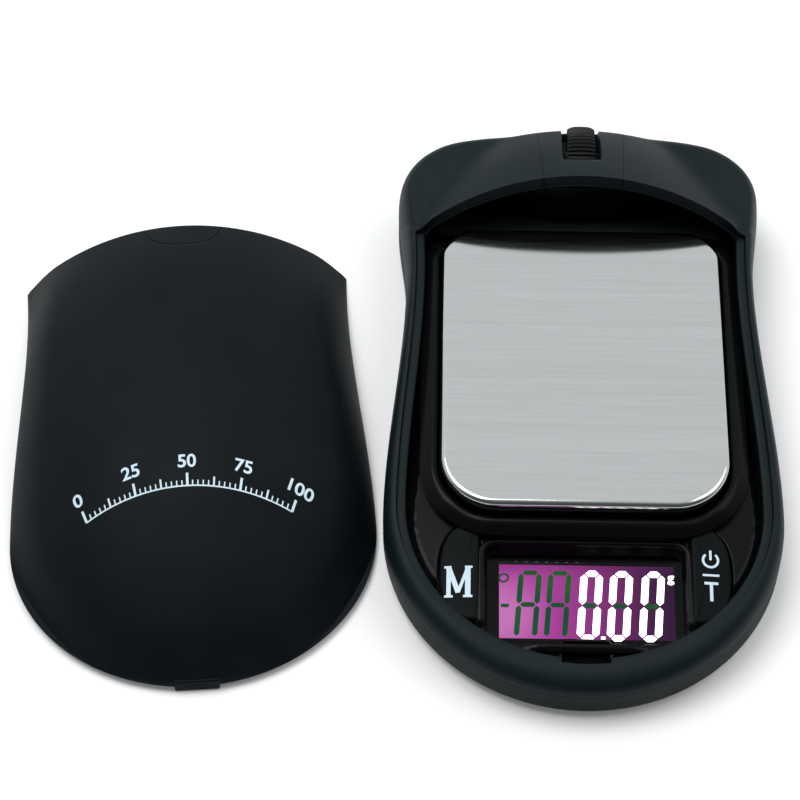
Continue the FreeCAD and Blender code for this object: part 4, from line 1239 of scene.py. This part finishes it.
    def button_rims(self) -> None:
        """Narrow rim round each button hole."""
        for name, sign in (("mode", -1), ("power", 1)):
            loop = dense(Button.outline(sign))
            offsets = np.array([1.1, 0.8, 0.55, 0.36, 0.28, 0.28, 0.9])
            lift = np.array([-0.4, 0.04, 0.10, 0.05, -0.2, -2.2, -2.2])
            plan = loop[:, None, :] + outward(loop)[:, None, :] * offsets[None, :, None]
            heights = self.height(plan[..., 0], plan[..., 1]) + lift
            piece = Piece(f"deck_{name}_rim", "case", GLOSSY_DECK, "deck", self.place)
            piece.grid(sweep(loop, offsets, heights), True, True).finish_mesh()

    def floors(self) -> None:
        """Floors in painted shade black: under the tray, and in the gap before the nose's wall."""
        well = rounded_rectangle(27.2, -26.0, 37.0, 10.0, 6.7, 10)
        # painted shade: the floor under the tray is black for the shade that falls there
        piece = Piece("deck_well_floor", "case", SHADE_BLACK, "deck", self.place)
        piece.grid(capped(sweep(well, [0.0, 0.0, -0.2], [11.5, 12.3, 12.4])))
        piece.grid(capped(sweep(well, [0.0, -0.2], [11.5, 11.45])))
        piece.finish_mesh()
        x = np.linspace(-self.wall_half, self.wall_half, 120)
        foot = self.wall_foot(x)
        low = np.full_like(x, self.gap_floor)
        shelf = np.stack([np.stack([x, np.full_like(x, 36.1), low], -1),
                          np.stack([x, foot - 0.5, low], -1),
                          np.stack([x, foot - 0.3, np.full_like(x, self.wall_low)], -1),
                          np.stack([x, foot + 0.1, np.full_like(x, self.wall_low + 0.1)], -1)], 1)
        # painted shade: the gap before the nose's wall is black for the shade under the nose
        Piece("deck_shadow_gap", "case", SHADE_BLACK, "deck", self.place, closed=False).grid(
            shelf, False, False).finish_mesh()

    @staticmethod
    def wall_foot(x: Array) -> Array:
        """y of the wall's foot: a shallow parabola, nearest in the middle."""
        return 40.3 + 0.0066 * x**2

    def wall(self) -> bpy.types.Object:
        """Wall under the nose: a rounded foot carried up to the lip along the parabola."""
        x = np.linspace(-self.wall_half, self.wall_half, 150)
        foot = self.wall_foot(x)
        top = np.maximum(FORM.nose_top(x, foot, np.ones_like(x)) - 2.0, 15.8)
        rise = np.array([0.0, 0.02, 0.05, 0.10, 0.2, 0.4, 0.6, 0.8, 1.0])
        back = np.array([0.05, -0.12, -0.05, 0.15, 0.35, 0.6, 0.8, 0.95, 1.1])
        y = foot[:, None] + back[None, :]
        z = self.wall_low + (top - self.wall_low)[:, None] * rise[None, :]
        rows = np.stack([np.broadcast_to(x[:, None], y.shape), y, z], -1)
        return Piece("deck_nose_wall", "case", GLOSSY_DECK, "deck", self.place, closed=False).grid(
            rows, False, False).finish_mesh()

    def slots(self) -> None:
        """Rounded pockets for the cover's tabs, their hollows in painted shade black: one in the nose's wall,
        one in the tail.
        """
        top = float(FORM.nose_top(np.array(0.0), np.array(40.0), np.array(1.0))) - 2.0
        # painted shade: the front tab's pocket is black for the shade inside it
        Piece("deck_front_tab_slot", "case", SHADE_BLACK, "deck", self.place).grid(
            pillow((-4.0, 39.9, top - 2.6), (4.0, 41.6, top + 0.2), 0.35)).finish_mesh()
        loop = dense(rounded_rectangle(NOTCH_HALF - 0.1, -50.9, -46.75, 0.5, 0.5, 6))
        offsets = np.array([0.75, 0.6, 0.35, 0.1, 0.0, -0.05, 0.5])
        lift = np.array([-1.2, -0.05, 0.12, 0.08, -0.1, -2.0, -2.2])
        heights = self.height(loop[:, 0], np.maximum(loop[:, 1], -48.6))[:, None] + lift
        Piece("deck_tail_notch_rim", "case", GLOSSY_DECK, "deck", self.place).grid(
            sweep(loop, offsets, heights), True, True).finish_mesh()
        floor = capped(sweep(loop, [0.3, 0.3], [6.9, 7.4]))
        # painted shade: the tail notch's floor is black for the shade inside it
        Piece("deck_tail_notch_floor", "case", SHADE_BLACK, "deck", self.place, closed=False).grid(
            floor).finish_mesh()

    def build(self) -> None:
        """Build every piece of the deck."""
        self.plate()
        self.border()
        self.recess()
        self.button_rims()
        self.floors()
        self.wall()
        self.slots()


def dense(loop: Array) -> Array:
    """Closed loop with evenly spaced points, about three to the millimetre.

    Args:
        loop: points of the closed loop.

    Returns:
        The new points.
    """
    closed = np.concatenate([loop, loop[:1]])
    length = np.linalg.norm(np.diff(closed, axis=0), axis=1).sum()
    return resample(closed, np.linspace(0, 1, int(length * 3) + 1)[:-1])


def inside_loop(x: Array, y: Array, loop: Array) -> Array:
    """Whether places are inside a loop: the count of edges crossed by a line to the right is odd.

    Args:
        x: places across.
        y: places along.
        loop: points of the closed loop.

    Returns:
        True where a place is inside.
    """
    ax, ay = loop[:, 0][None, :], loop[:, 1][None, :]
    bx, by = np.roll(ax, -1, axis=1), np.roll(ay, -1, axis=1)
    crosses = (ay > y[:, None]) != (by > y[:, None])
    rise = np.where(np.abs(by - ay) < 1e-12, 1e-12, by - ay)
    hit = x[:, None] < ax + (y[:, None] - ay) * (bx - ax) / rise
    return (crosses & hit).sum(axis=1) % 2 == 1


@dataclass
class Button:
    """One D-shaped button, straight beside the display and curved along the rim."""

    place: Place
    name: str
    sign: int
    inner: float = 18.3
    reach: float = 6.9
    middle: float = -33.8
    half: float = 9.2
    fullness: float = 2.5

    @classmethod
    def outline(cls, sign: int) -> Array:
        """Anticlockwise D: half a superellipse, closed by a straight side.

        Args:
            sign: 1 on the right, -1 on the left.

        Returns:
            Points of the loop.
        """
        angle = np.radians(np.linspace(-90, 90, 60))
        power = 2 / cls.fullness
        x = cls.inner + cls.reach * np.abs(np.cos(angle)) ** power
        y = cls.middle + cls.half * np.sign(np.sin(angle)) * np.abs(np.sin(angle)) ** power
        loop = np.stack([sign * x, y], -1)
        return loop if sign > 0 else loop[::-1]

    def face(self, x: Array, y: Array) -> Array:
        """Height of the button's face: it follows the deck's slope, with a slight crown.

        Args:
            x: places across.
            y: places along.

        Returns:
            Heights.
        """
        across = (np.abs(x) - self.inner) / self.reach
        slope = 11.15 + 0.125 * (y - self.middle)
        return slope - 0.55 * np.clip(across, 0, 1.2) ** 2

    def cap(self) -> bpy.types.Object:
        """Cap: wall, rounded edge and crowned face, carried inwards to its middle."""
        loop = dense(self.outline(self.sign))
        centre = np.array([self.sign * 21.2, self.middle])
        inset = np.array([0.0, 0.0, 0.0, 0.08, 0.22, 0.45, 0.75])
        drop = np.array([3.2, 1.5, 0.6, 0.28, 0.1, 0.02, 0.0])
        plan = loop[:, None, :] - outward(loop)[:, None, :] * inset[None, :, None]
        inward = plan[:, -1:, :] + (centre - plan[:, -1:, :]) * np.linspace(0, 1, 14)[None, 1:, None]
        plan = np.concatenate([plan, inward], 1)
        fall = np.concatenate([drop, np.zeros(13)])
        z = self.face(plan[..., 0], plan[..., 1]) - fall
        rows = np.concatenate([plan, z[..., None]], -1)
        piece = Piece(f"{self.name}_button_cap", f"{self.name}_key", BUTTON_BLACK, "button", self.place)
        piece.grid(rows)
        base = np.concatenate([rows[:, :1], np.broadcast_to(rows[:, 0].mean(axis=0), (len(loop), 1, 3))], 1)
        return piece.grid(base, flip=True).finish_mesh((f"{self.name}_button",))

    def mark(self, points: Array, quads: Array, name: str) -> bpy.types.Object:
        """Lay flat strokes on the face, a hair above it.

        Args:
            points: points in the plane.
            quads: faces over them.
            name: the piece's name.

        Returns:
            The new object.
        """
        lifted = np.concatenate([points, (self.face(points[:, 0], points[:, 1]) + 0.03)[:, None]], 1)
        piece = Piece(name, f"{self.name}_key", PRINTED_INK, "button", self.place, closed=False)
        return piece.add(lifted, quads).finish_mesh()

    def build(self) -> None:
        """Build the cap and its marks: a letter for the mode, or the power sign over a tare letter."""
        self.cap()
        if self.sign < 0:
            x, y, high, wide = -21.9, -36.0, 2.7, 1.65
            left, right, low, top, dip, serif = x - wide, x + wide, y - high, y + high, y - high * 0.75, 0.42
            strokes = [(left, low, left, top, 0.75), (right, low, right, top, 0.95),
                       (left, top, x, dip, 0.85), (right, top, x, dip, 0.55),
                       (left - 0.75, low, left + 0.75, low, serif),
                       (right - 0.8, low, right + 0.8, low, serif),
                       (left - 0.75, top, left + 0.5, top, serif),
                       (right - 0.5, top, right + 0.8, top, serif)]
            self.mark(*bars(strokes), "mode_button_letter")
            return
        x = 21.6
        self.mark(*arc_band((x, -31.3), 1.3, 0.42, 130, 410), "power_button_ring")
        strokes = [(x, -31.3, x, -29.5, 0.42), (x - 1.45, -34.1, x + 1.45, -34.1, 0.4),
                   (x - 1.2, -35.6, x + 1.2, -35.6, 0.5), (x, -35.6, x, -38.9, 0.55)]
        self.mark(*bars(strokes), "power_button_strokes")


@dataclass
class Display:
    """Display field, its digits and small signs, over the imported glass."""

    place: Place
    top: float = 8.3
    left: float = -14.8
    right: float = 15.4
    near: float = -45.6
    far: float = -31.0
    lean: float = 0.075
    digit_top: float = -32.6
    digit_low: float = -45.3
    stroke_gap: float = 0.17

    def field(self) -> bpy.types.Object:
        """Lit field: a flat grid just above the glass."""
        across, along = np.linspace(self.left, self.right, 32), np.linspace(self.near, self.far, 18)
        x, y = np.meshgrid(across, along, indexing="ij")
        rows = np.stack([x, y, np.full_like(x, self.top + 0.015)], -1)
        return Piece("display_lit_field", "case", DISPLAY_FIELD, "backlight", self.place, closed=False).grid(
            rows, False, False).finish_mesh()

    def digit(self, left: float, right: float, thick: float, segments: str) -> tuple[list, list]:
        """Seven leaning strokes with pointed ends.

        Args:
            left: left side of the digit.
            right: right side.
            thick: width of a stroke.
            segments: which strokes, of the letters a to g.

        Returns:
            Points and six-cornered faces.
        """
        top, low = self.digit_top, self.digit_low
        mid = (top + low) / 2
        half = thick / 2
        ends = {"a": ((left, top), (right, top)), "g": ((left, mid), (right, mid)),
                "d": ((left, low), (right, low)), "f": ((left, mid), (left, top)),
                "b": ((right, mid), (right, top)), "e": ((left, low), (left, mid)),
                "c": ((right, low), (right, mid))}
        points, faces = [], []
        for letter in segments:
            start, end = (np.array(p, float) for p in ends[letter])
            along = (end - start) / np.linalg.norm(end - start)
            side = np.array([-along[1], along[0]])
            start, end = start + along * self.stroke_gap, end - along * self.stroke_gap
            corners = [start, start + along * half - side * half, end - along * half - side * half, end,
                       end - along * half + side * half, start + along * half + side * half]
            faces.append(np.arange(6) + 6 * len(faces))
            points.extend(corners)
        return points, faces

    def ink(self, name: str, finish: Finish, shapes: list[tuple[list, list]],
            lift: float) -> bpy.types.Object:
        """Gather flat shapes into one piece, leaning to the right with height on the display.

        Args:
            name: the piece's name.
            finish: its finish.
            shapes: points and faces of each shape.
            lift: height over the glass.

        Returns:
            The new object.
        """
        piece = Piece(name, "case", finish, "display", self.place, closed=False)
        for points, faces in shapes:
            flat = np.array(points)
            lean = flat[:, 0] + self.lean * (flat[:, 1] - self.near)
            piece.add(np.stack([lean, flat[:, 1], np.full(len(flat), self.top + lift)], -1), np.array(faces))
        return piece.finish_mesh()

    def strip(self) -> None:
        """Grey far edge of the glass, with a row of small marks on it."""
        edge = Piece("display_glass_edge", "case", DISPLAY_GLASS, "display", self.place)
        low, high = (-15.0, self.far + 0.15, self.top - 0.2), (15.2, self.far + 0.95, self.top + 0.05)
        edge.grid(pillow(low, high, 0.1, 16))
        edge.finish_mesh()
        pitch, y = 1.75, self.far + 0.55
        marks = [(-13.2 + pitch * step, y, -12.7 + pitch * step, y, 0.22) for step in range(7)]
        self.ink("display_edge_marks", EPOXY_BLACK, [bars(marks)], 0.07)

    def build(self) -> None:
        """Build the field, the lit and unlit digits, and the small signs."""
        self.field()
        self.strip()
        lit = [(-1.0, 1.65), (4.15, 6.85), (9.65, 12.35)]
        unlit = [(-11.9, -8.8), (-6.75, -3.65)]
        unit, faces = lettering("g", 2.6)
        self.ink("display_lit_digits", LIT_SEGMENT, [self.digit(a, b, 1.25, "abcdef") for a, b in lit]
                 + [bars([(2.95, -45.0, 2.95, -45.6, 0.7)])], 0.03)
        sign = Piece("display_lit_unit", "case", LIT_SEGMENT, "display", self.place, closed=False)
        lifted = np.concatenate([unit + np.array([14.9, -33.2]), np.full((len(unit), 1), self.top + 0.03)], 1)
        sign.points.append(lifted)
        sign.faces.extend(faces)
        sign.finish_mesh()
        self.ink("display_dark_digits", DARK_SEGMENT, [self.digit(a, b, 0.95, "abcefg") for a, b in unlit]
                 + [self.digit(a, b, 1.0, "g") for a, b in lit]
                 + [arc_band((-14.9, -33.7), 0.78, 0.36, 0, 360),
                    bars([(-15.0, -39.2, -13.6, -39.2, 0.7)])], 0.025)


@dataclass
class Cover:
    """Lift-off cover: a domed shell with a tab at each end and the printed graduation."""

    half: float = 32.57
    tail: float = 30.35
    waist: float = 29.95
    nose: float = 30.5
    skin: float = 1.6
    corner: float = 6.5
    fullness: float = 2.15
    turn: float = 4.7
    pitch: float = 5.26
    clearance: float = 0.05
    front_gap: float = -0.25
    place: Place = field(init=False)

    def __post_init__(self) -> None:
        """Find where the cover lies: its box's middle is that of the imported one, its lowest point too."""
        low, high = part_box("cover_shell")
        loose = Place((0.0, 0.0, 0.0), self.turn, self.pitch)
        points = loose.out(np.concatenate([self.surface(0.0), self.surface(self.skin)]).reshape(-1, 3))
        shift = (np.array(low) + np.array(high)) / 2 - (points.min(axis=0) + points.max(axis=0)) / 2
        shift[2] = low.z + self.clearance * MM - points[:, 2].min()
        self.place = Place(tuple(shift), self.turn, self.pitch)

    def seat(self, y: Array) -> Array:
        """Height of the cover's edge when it is on the scale: just over the ledge."""
        return FORM.rim(y) - 0.95

    def edge(self, inset: float) -> tuple[Array, Array]:
        """Right half of the cover's edge, and its rounded part alone, both drawn in by an inset.

        Args:
            inset: how far the edge is drawn in.

        Returns:
            The whole half, and the rounded part of it.
        """
        outline = Outline(self.half - inset, self.tail - inset, self.waist - inset, self.nose - inset)
        corner_y = float(FORM.arch(outline.side(np.array(34.6)), self.front_gap))
        heights = np.linspace(outline.centre, corner_y, 70)[1:]
        rounded = outline.run(np.radians(np.linspace(-90, 0, 70)), heights)
        x = np.linspace(rounded[-1, 0], 0, 46)[1:]
        return np.concatenate([rounded, np.stack([x, FORM.arch(x, self.front_gap)], -1)]), rounded

    def height(self, x: Array, y: Array, inset: float = 0.0) -> Array:
        """Cover's height: the dome, drawn down by a shoulder to the seat along tail and sides.

        Args:
            x: places across.
            y: places along.
            inset: how far the skin is drawn in.

        Returns:
            Heights.
        """
        plan = np.stack([x, y], -1)
        line = both_sides(self.edge(inset)[1])
        near = edge_distance(plan, line)
        full = FORM.dome(x, y, inset)
        round_off = shoulder(near, self.corner - inset, self.fullness)
        return self.seat(y) + (full - self.seat(y)) * round_off

    def surface(self, inset: float) -> Array:
        """Grid from the edge to the middle, over rings that shrink towards one point.

        Args:
            inset: how far the skin is drawn in.

        Returns:
            Grid of points, edge by ring.
        """
        loop = mirrored(self.edge(inset)[0])
        share = np.linspace(0, 1, 44) ** 1.7
        plan = loop[:, None, :] + (np.array([0.0, -4.0]) - loop)[:, None, :] * share[None, :, None]
        z = self.height(plan[..., 0], plan[..., 1], inset)
        return np.concatenate([plan, z[..., None]], -1)

    def shell(self) -> bpy.types.Object:
        """Outer and inner skins, joined by a strip round the edge."""
        outer, inner = self.surface(0.0), self.surface(self.skin)
        strip = np.stack([outer[:, 0], inner[:, 0]], 1)
        piece = Piece("cover_skin", "cover", SOFT_COVER, "case", self.place, sharp=50.0)
        return piece.grid(outer).grid(inner, flip=True).grid(strip, flip=True).finish_mesh(("cover_shell",))

    def tabs(self) -> None:
        """Tab at the tail, hanging under the edge, and the thin tab at the front."""
        seat = float(self.seat(np.array(-50.0)))
        Piece("cover_rear_tab", "cover", SOFT_COVER, "case", self.place).grid(
            pillow((-3.9, -51.25, seat - 1.5), (3.9, -49.6, seat + 1.3), 0.4)).finish_mesh()
        top = float(FORM.dome(np.array(0.0), np.array(39.4)))
        Piece("cover_front_tab", "cover", SOFT_COVER, "case", self.place).grid(
            pillow((-3.0, 35.6, top - 2.9), (3.0, 40.0, top - 1.75), 0.35)).finish_mesh()

    def graduation(self) -> None:
        """Printed graduation: ticks on an arc, longer each fifth, and plain numbers over the longest."""
        centre, radius, half_angle, ticks, numbers = np.array([0.0, -74.5]), 52.0, 20.0, 40, 4
        strokes = []
        for tick in range(ticks + 1):
            angle = math.radians(90 + half_angle - 2 * half_angle * tick / ticks)
            length, width = 1.0, 0.22
            if tick % 5 == 0:
                length, width = 1.7, 0.32
            if tick % 10 == 0:
                length, width = 2.3, 0.42
            way = np.array([math.cos(angle), math.sin(angle)])
            start, end = centre + way * radius, centre + way * (radius + length)
            strokes.append((*start, *end, width))
        line = arc_band(tuple(centre), radius, 0.26, 90 - half_angle, 90 + half_angle, 60)
        self.print_on("cover_graduation_ticks", [bars(strokes), line])
        shapes = []
        for number in range(numbers + 1):
            angle = math.radians(90 + half_angle - 2 * half_angle * number / numbers)
            points, faces = lettering(str(number * 25), 3.3)
            lean = angle - math.pi / 2
            turn = np.array([[math.cos(lean), -math.sin(lean)], [math.sin(lean), math.cos(lean)]])
            spot = centre + (radius + 4.4) * np.array([math.cos(angle), math.sin(angle)])
            shapes.append((points @ turn.T + spot, faces))
        self.print_on("cover_graduation_numbers", shapes)

    def print_on(self, name: str, shapes: list[tuple[Array, list]]) -> bpy.types.Object:
        """Lay flat shapes on the dome, a hair above it.

        Args:
            name: the piece's name.
            shapes: points and faces of each shape.

        Returns:
            The new object.
        """
        piece = Piece(name, "cover", PRINTED_INK, "case", self.place, closed=False)
        for points, faces in shapes:
            z = self.height(points[:, 0], points[:, 1]) + 0.04
            start = piece.count
            piece.points.append(np.concatenate([points, z[:, None]], 1))
            piece.faces.extend([[int(corner) + start for corner in face] for face in faces])
            piece.count += len(points)
        return piece.finish_mesh()

    def build(self) -> None:
        """Build the shell, the tabs and the print."""
        self.shell()
        self.tabs()
        self.graduation()


def lettering(text: str, size: float) -> tuple[Array, list[list[int]]]:
    """Flat mesh of plain numbers or a unit sign, centred on its own middle.

    Args:
        text: what to write.
        size: height of the type, in millimetres.

    Returns:
        Points in the plane, and the faces over them.
    """
    curve = bpy.data.curves.new("numbers", "FONT")
    curve.body, curve.size, curve.align_x, curve.align_y = text, size, "CENTER", "CENTER"
    curve.offset = 0.02 * size
    holder = bpy.data.objects.new("numbers", curve)
    bpy.context.scene.collection.objects.link(holder)
    graph = bpy.context.evaluated_depsgraph_get()
    mesh = bpy.data.meshes.new_from_object(holder.evaluated_get(graph))
    places = np.zeros(len(mesh.vertices) * 3)
    mesh.vertices.foreach_get("co", places)
    faces = [list(polygon.vertices) for polygon in mesh.polygons]
    bpy.data.objects.remove(holder)
    bpy.data.curves.remove(curve)
    bpy.data.meshes.remove(mesh)
    return places.reshape(-1, 3)[:, :2], faces


@dataclass
class Platform:
    """Weighing tray: a pressed steel sheet with rounded corners and a folded lip."""

    place: Place
    half: float = 25.3
    near: float = -24.0
    far: float = 35.8
    top: float = 17.0
    lip: float = 3.8
    sheet: float = 0.5

    def build(self) -> None:
        """Build the tray: flat face, rounded edge, lip, and the same again inside."""
        loop = rounded_rectangle(self.half, self.near, self.far, 10.0, 6.3, 26)
        bend = np.radians(np.linspace(90, 0, 9))
        radius, bottom = 1.0, self.top - self.lip
        rounded = radius * (np.cos(bend) - 1)
        outer_off = np.concatenate([[-6.0, -1.8, -1.25], rounded, [0.0, 0.0, -0.12]])
        outer_z = np.concatenate([[self.top] * 3, self.top - radius + radius * np.sin(bend),
                                  [bottom + 1.2, bottom + 0.1, bottom]])
        inner_off = np.array([-self.sheet, -self.sheet, -self.sheet - 0.6, -6.0])
        inner_z = np.array([bottom + 0.05, self.top - 1.1, self.top - self.sheet, self.top - self.sheet])
        piece = Piece("platform_steel_tray", "platform", TRAY_STEEL, "steel", self.place)
        face = sweep(loop, np.concatenate([outer_off, inner_off]), np.concatenate([outer_z, inner_z]))
        piece.grid(face)
        piece.grid(capped(face[:, :1]), flip=True)
        piece.grid(capped(face[:, -1:]))
        piece.finish_mesh(("platform_tray",))


@dataclass
class Wheel:
    """Scroll wheel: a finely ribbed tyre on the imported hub."""

    place: Place
    y: float = 50.2
    z: float = 20.2
    radius: float = 5.7
    inner: float = 4.4
    half: float = 2.5
    ribs: int = 44
    rib_depth: float = 0.17
    crown: float = 0.55

    def build(self) -> None:
        """Tyre: a crowned section carried round the axle, its radius waved by the ribs."""
        angle = np.linspace(0, 2 * math.pi, self.ribs * 8 + 1)[:-1]
        wave = self.rib_depth * (1 - np.cos(self.ribs * angle))
        across = np.linspace(-1, 1, 15)
        crown = self.radius - self.crown * np.abs(across) ** 3.5
        outer = crown[None, :] - wave[:, None]
        sides = np.concatenate([[self.inner], np.zeros(15), [self.inner]])
        reach = np.broadcast_to(sides, (len(angle), 17)).copy()
        reach[:, 1:-1] = outer
        x = np.concatenate([[-self.half], across * self.half, [self.half]])
        rows = np.stack([np.broadcast_to(x, reach.shape), self.y + reach * np.cos(angle)[:, None],
                         self.z + reach * np.sin(angle)[:, None]], -1)
        Piece("scroll_wheel_ribbed_tyre", "scroll_wheel", TYRE_RUBBER, "button", self.place).grid(
            rows, True, True).finish_mesh(("scroll_wheel_tyre",))
        smoothed("scroll_wheel_hub", "scroll_wheel_core", "scroll_wheel", INNER_PLASTIC, "inner_plastic",
                 self.place)


@dataclass
class Underside:
    """Lower shell, battery door, feet and case screws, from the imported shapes."""

    place: Place

    def build(self) -> None:
        """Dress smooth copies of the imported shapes."""
        smoothed("bottom_shell", "case_lower_skin", "case", LOWER_CASE, "case", self.place)
        smoothed("battery_door", "battery_door_skin", "door", LOWER_CASE, "case", self.place, 10.0)
        smoothed("case_screws", "case_screw_set", "case", SCREW_STEEL, "screw", self.place)
        for end in ("rear", "front"):
            for side in ("right", "left"):
                node = f"foot_{end}_{side}"
                smoothed(node, f"rubber_{node}", "case", FOOT_RUBBER, "foot", self.place)


@dataclass
class Inside:
    """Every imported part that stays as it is: it only gets its finish."""

    def build(self) -> None:
        """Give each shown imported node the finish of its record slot."""
        slots = {entry["node"]: entry["material_slot"] for entry in frame["record"]["subparts"]}
        for name, node in frame["nodes"].items():
            if node.hide_render:
                continue
            finish = SLOT_FINISHES[slots[name]]
            node.data.materials.clear()
            node.data.materials.append(finish.material())
            node.data.uv_layers.new(name="own_plan")
            LOG.info("%s dressed with %s", name, finish.name)


@dataclass
class Studio:
    """Pale floor, soft light and the camera, set about the scale's own origin."""

    place: Place
    camera: tuple[float, float, float] = (-27.27, -279.51, 427.35)
    elevation: float = 56.0
    heading: float = 1.09
    lens: float = 126.0

    def floor(self) -> None:
        """Large pale floor with a faint unevenness."""
        mesh = bpy.data.meshes.new("floor")
        mesh.from_pydata([(-3, -3, 0), (3, -3, 0), (3, 3, 0), (-3, 3, 0)], [], [(0, 1, 2, 3)])
        mesh.materials.append(PALE_FLOOR.material())
        made = bpy.data.objects.new("floor", mesh)
        bpy.context.scene.collection.objects.link(made)

    def lamp(self, name: str, where: tuple[float, float, float], size: float, power: float) -> None:
        """Square soft lamp that faces the object.

        Args:
            name: the lamp's name.
            where: its place, in metres.
            size: length of its side.
            power: its power in watts.
        """
        light = bpy.data.lights.new(name, "AREA")
        light.size, light.energy = size, power
        made = bpy.data.objects.new(name, light)
        made.location = where
        made.rotation_euler = (-Vector(where)).to_track_quat("-Z", "Y").to_euler()
        bpy.context.scene.collection.objects.link(made)

    def world(self) -> None:
        """Pale surroundings, bright behind the nose and dim behind the tail."""
        world = bpy.data.worlds.new("studio")
        bpy.context.scene.world = world
        world.use_nodes = True
        graph = Graph(world.node_tree)
        way = graph.node("ShaderNodeSeparateXYZ")
        graph.feed(way.inputs[0], graph.node("ShaderNodeTexCoord").outputs["Generated"])
        base = world.node_tree.nodes["Background"]
        base.inputs[0].default_value = (0.94, 0.98, 1.0, 1.0)
        graph.feed(base.inputs[1], graph.ramp(way.outputs[1], -0.75, 0.65, 0.10, 0.88))

    def eye(self) -> None:
        """Camera at its place, looking down at the elevation and turned by the heading."""
        down, aside = math.radians(self.elevation), math.radians(self.heading)
        level = Vector((-math.sin(aside), math.cos(aside), 0.0)) * math.cos(down)
        forward = level - Vector((0.0, 0.0, math.sin(down)))
        right = Vector((math.cos(aside), math.sin(aside), 0.0))
        upward = right.cross(forward)
        data = bpy.data.cameras.new("camera")
        data.lens, data.sensor_width = self.lens, 36.0
        made = bpy.data.objects.new("camera", data)
        turn = Matrix((right, upward, -forward)).transposed().to_4x4()
        spot = Vector(self.place.out(np.array([self.camera]))[0])
        made.matrix_world = Matrix.Translation(spot) @ turn
        bpy.context.scene.collection.objects.link(made)
        bpy.context.scene.camera = made

    def build(self) -> None:
        """Build floor, lamps, surroundings and camera."""
        self.floor()
        self.lamp("key_light", (-0.30, 0.15, 0.95), 0.6, 6.0)
        self.lamp("fill_light", (0.55, 0.10, 0.80), 0.6, 2.0)
        self.world()
        self.eye()
        bpy.context.scene.view_settings.view_transform = "Standard"


def main() -> None:
    """Build the sub-assemblies in order."""
    logging.basicConfig(level=logging.INFO, format="%(name)s: %(message)s")
    low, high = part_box("bottom_shell")
    scale = Place(((low.x + high.x) / 2, low.y + (FORM.case.tail - FORM.case.centre) * MM, 0.0))
    Studio(scale).build()
    UpperCase(scale).build()
    Deck(scale).build()
    Display(scale).build()
    Button(scale, "mode", -1).build()
    Button(scale, "power", 1).build()
    Platform(scale).build()
    Wheel(scale).build()
    Underside(scale).build()
    Cover().build()
    Inside().build()


if __name__ == "__main__":
    main()
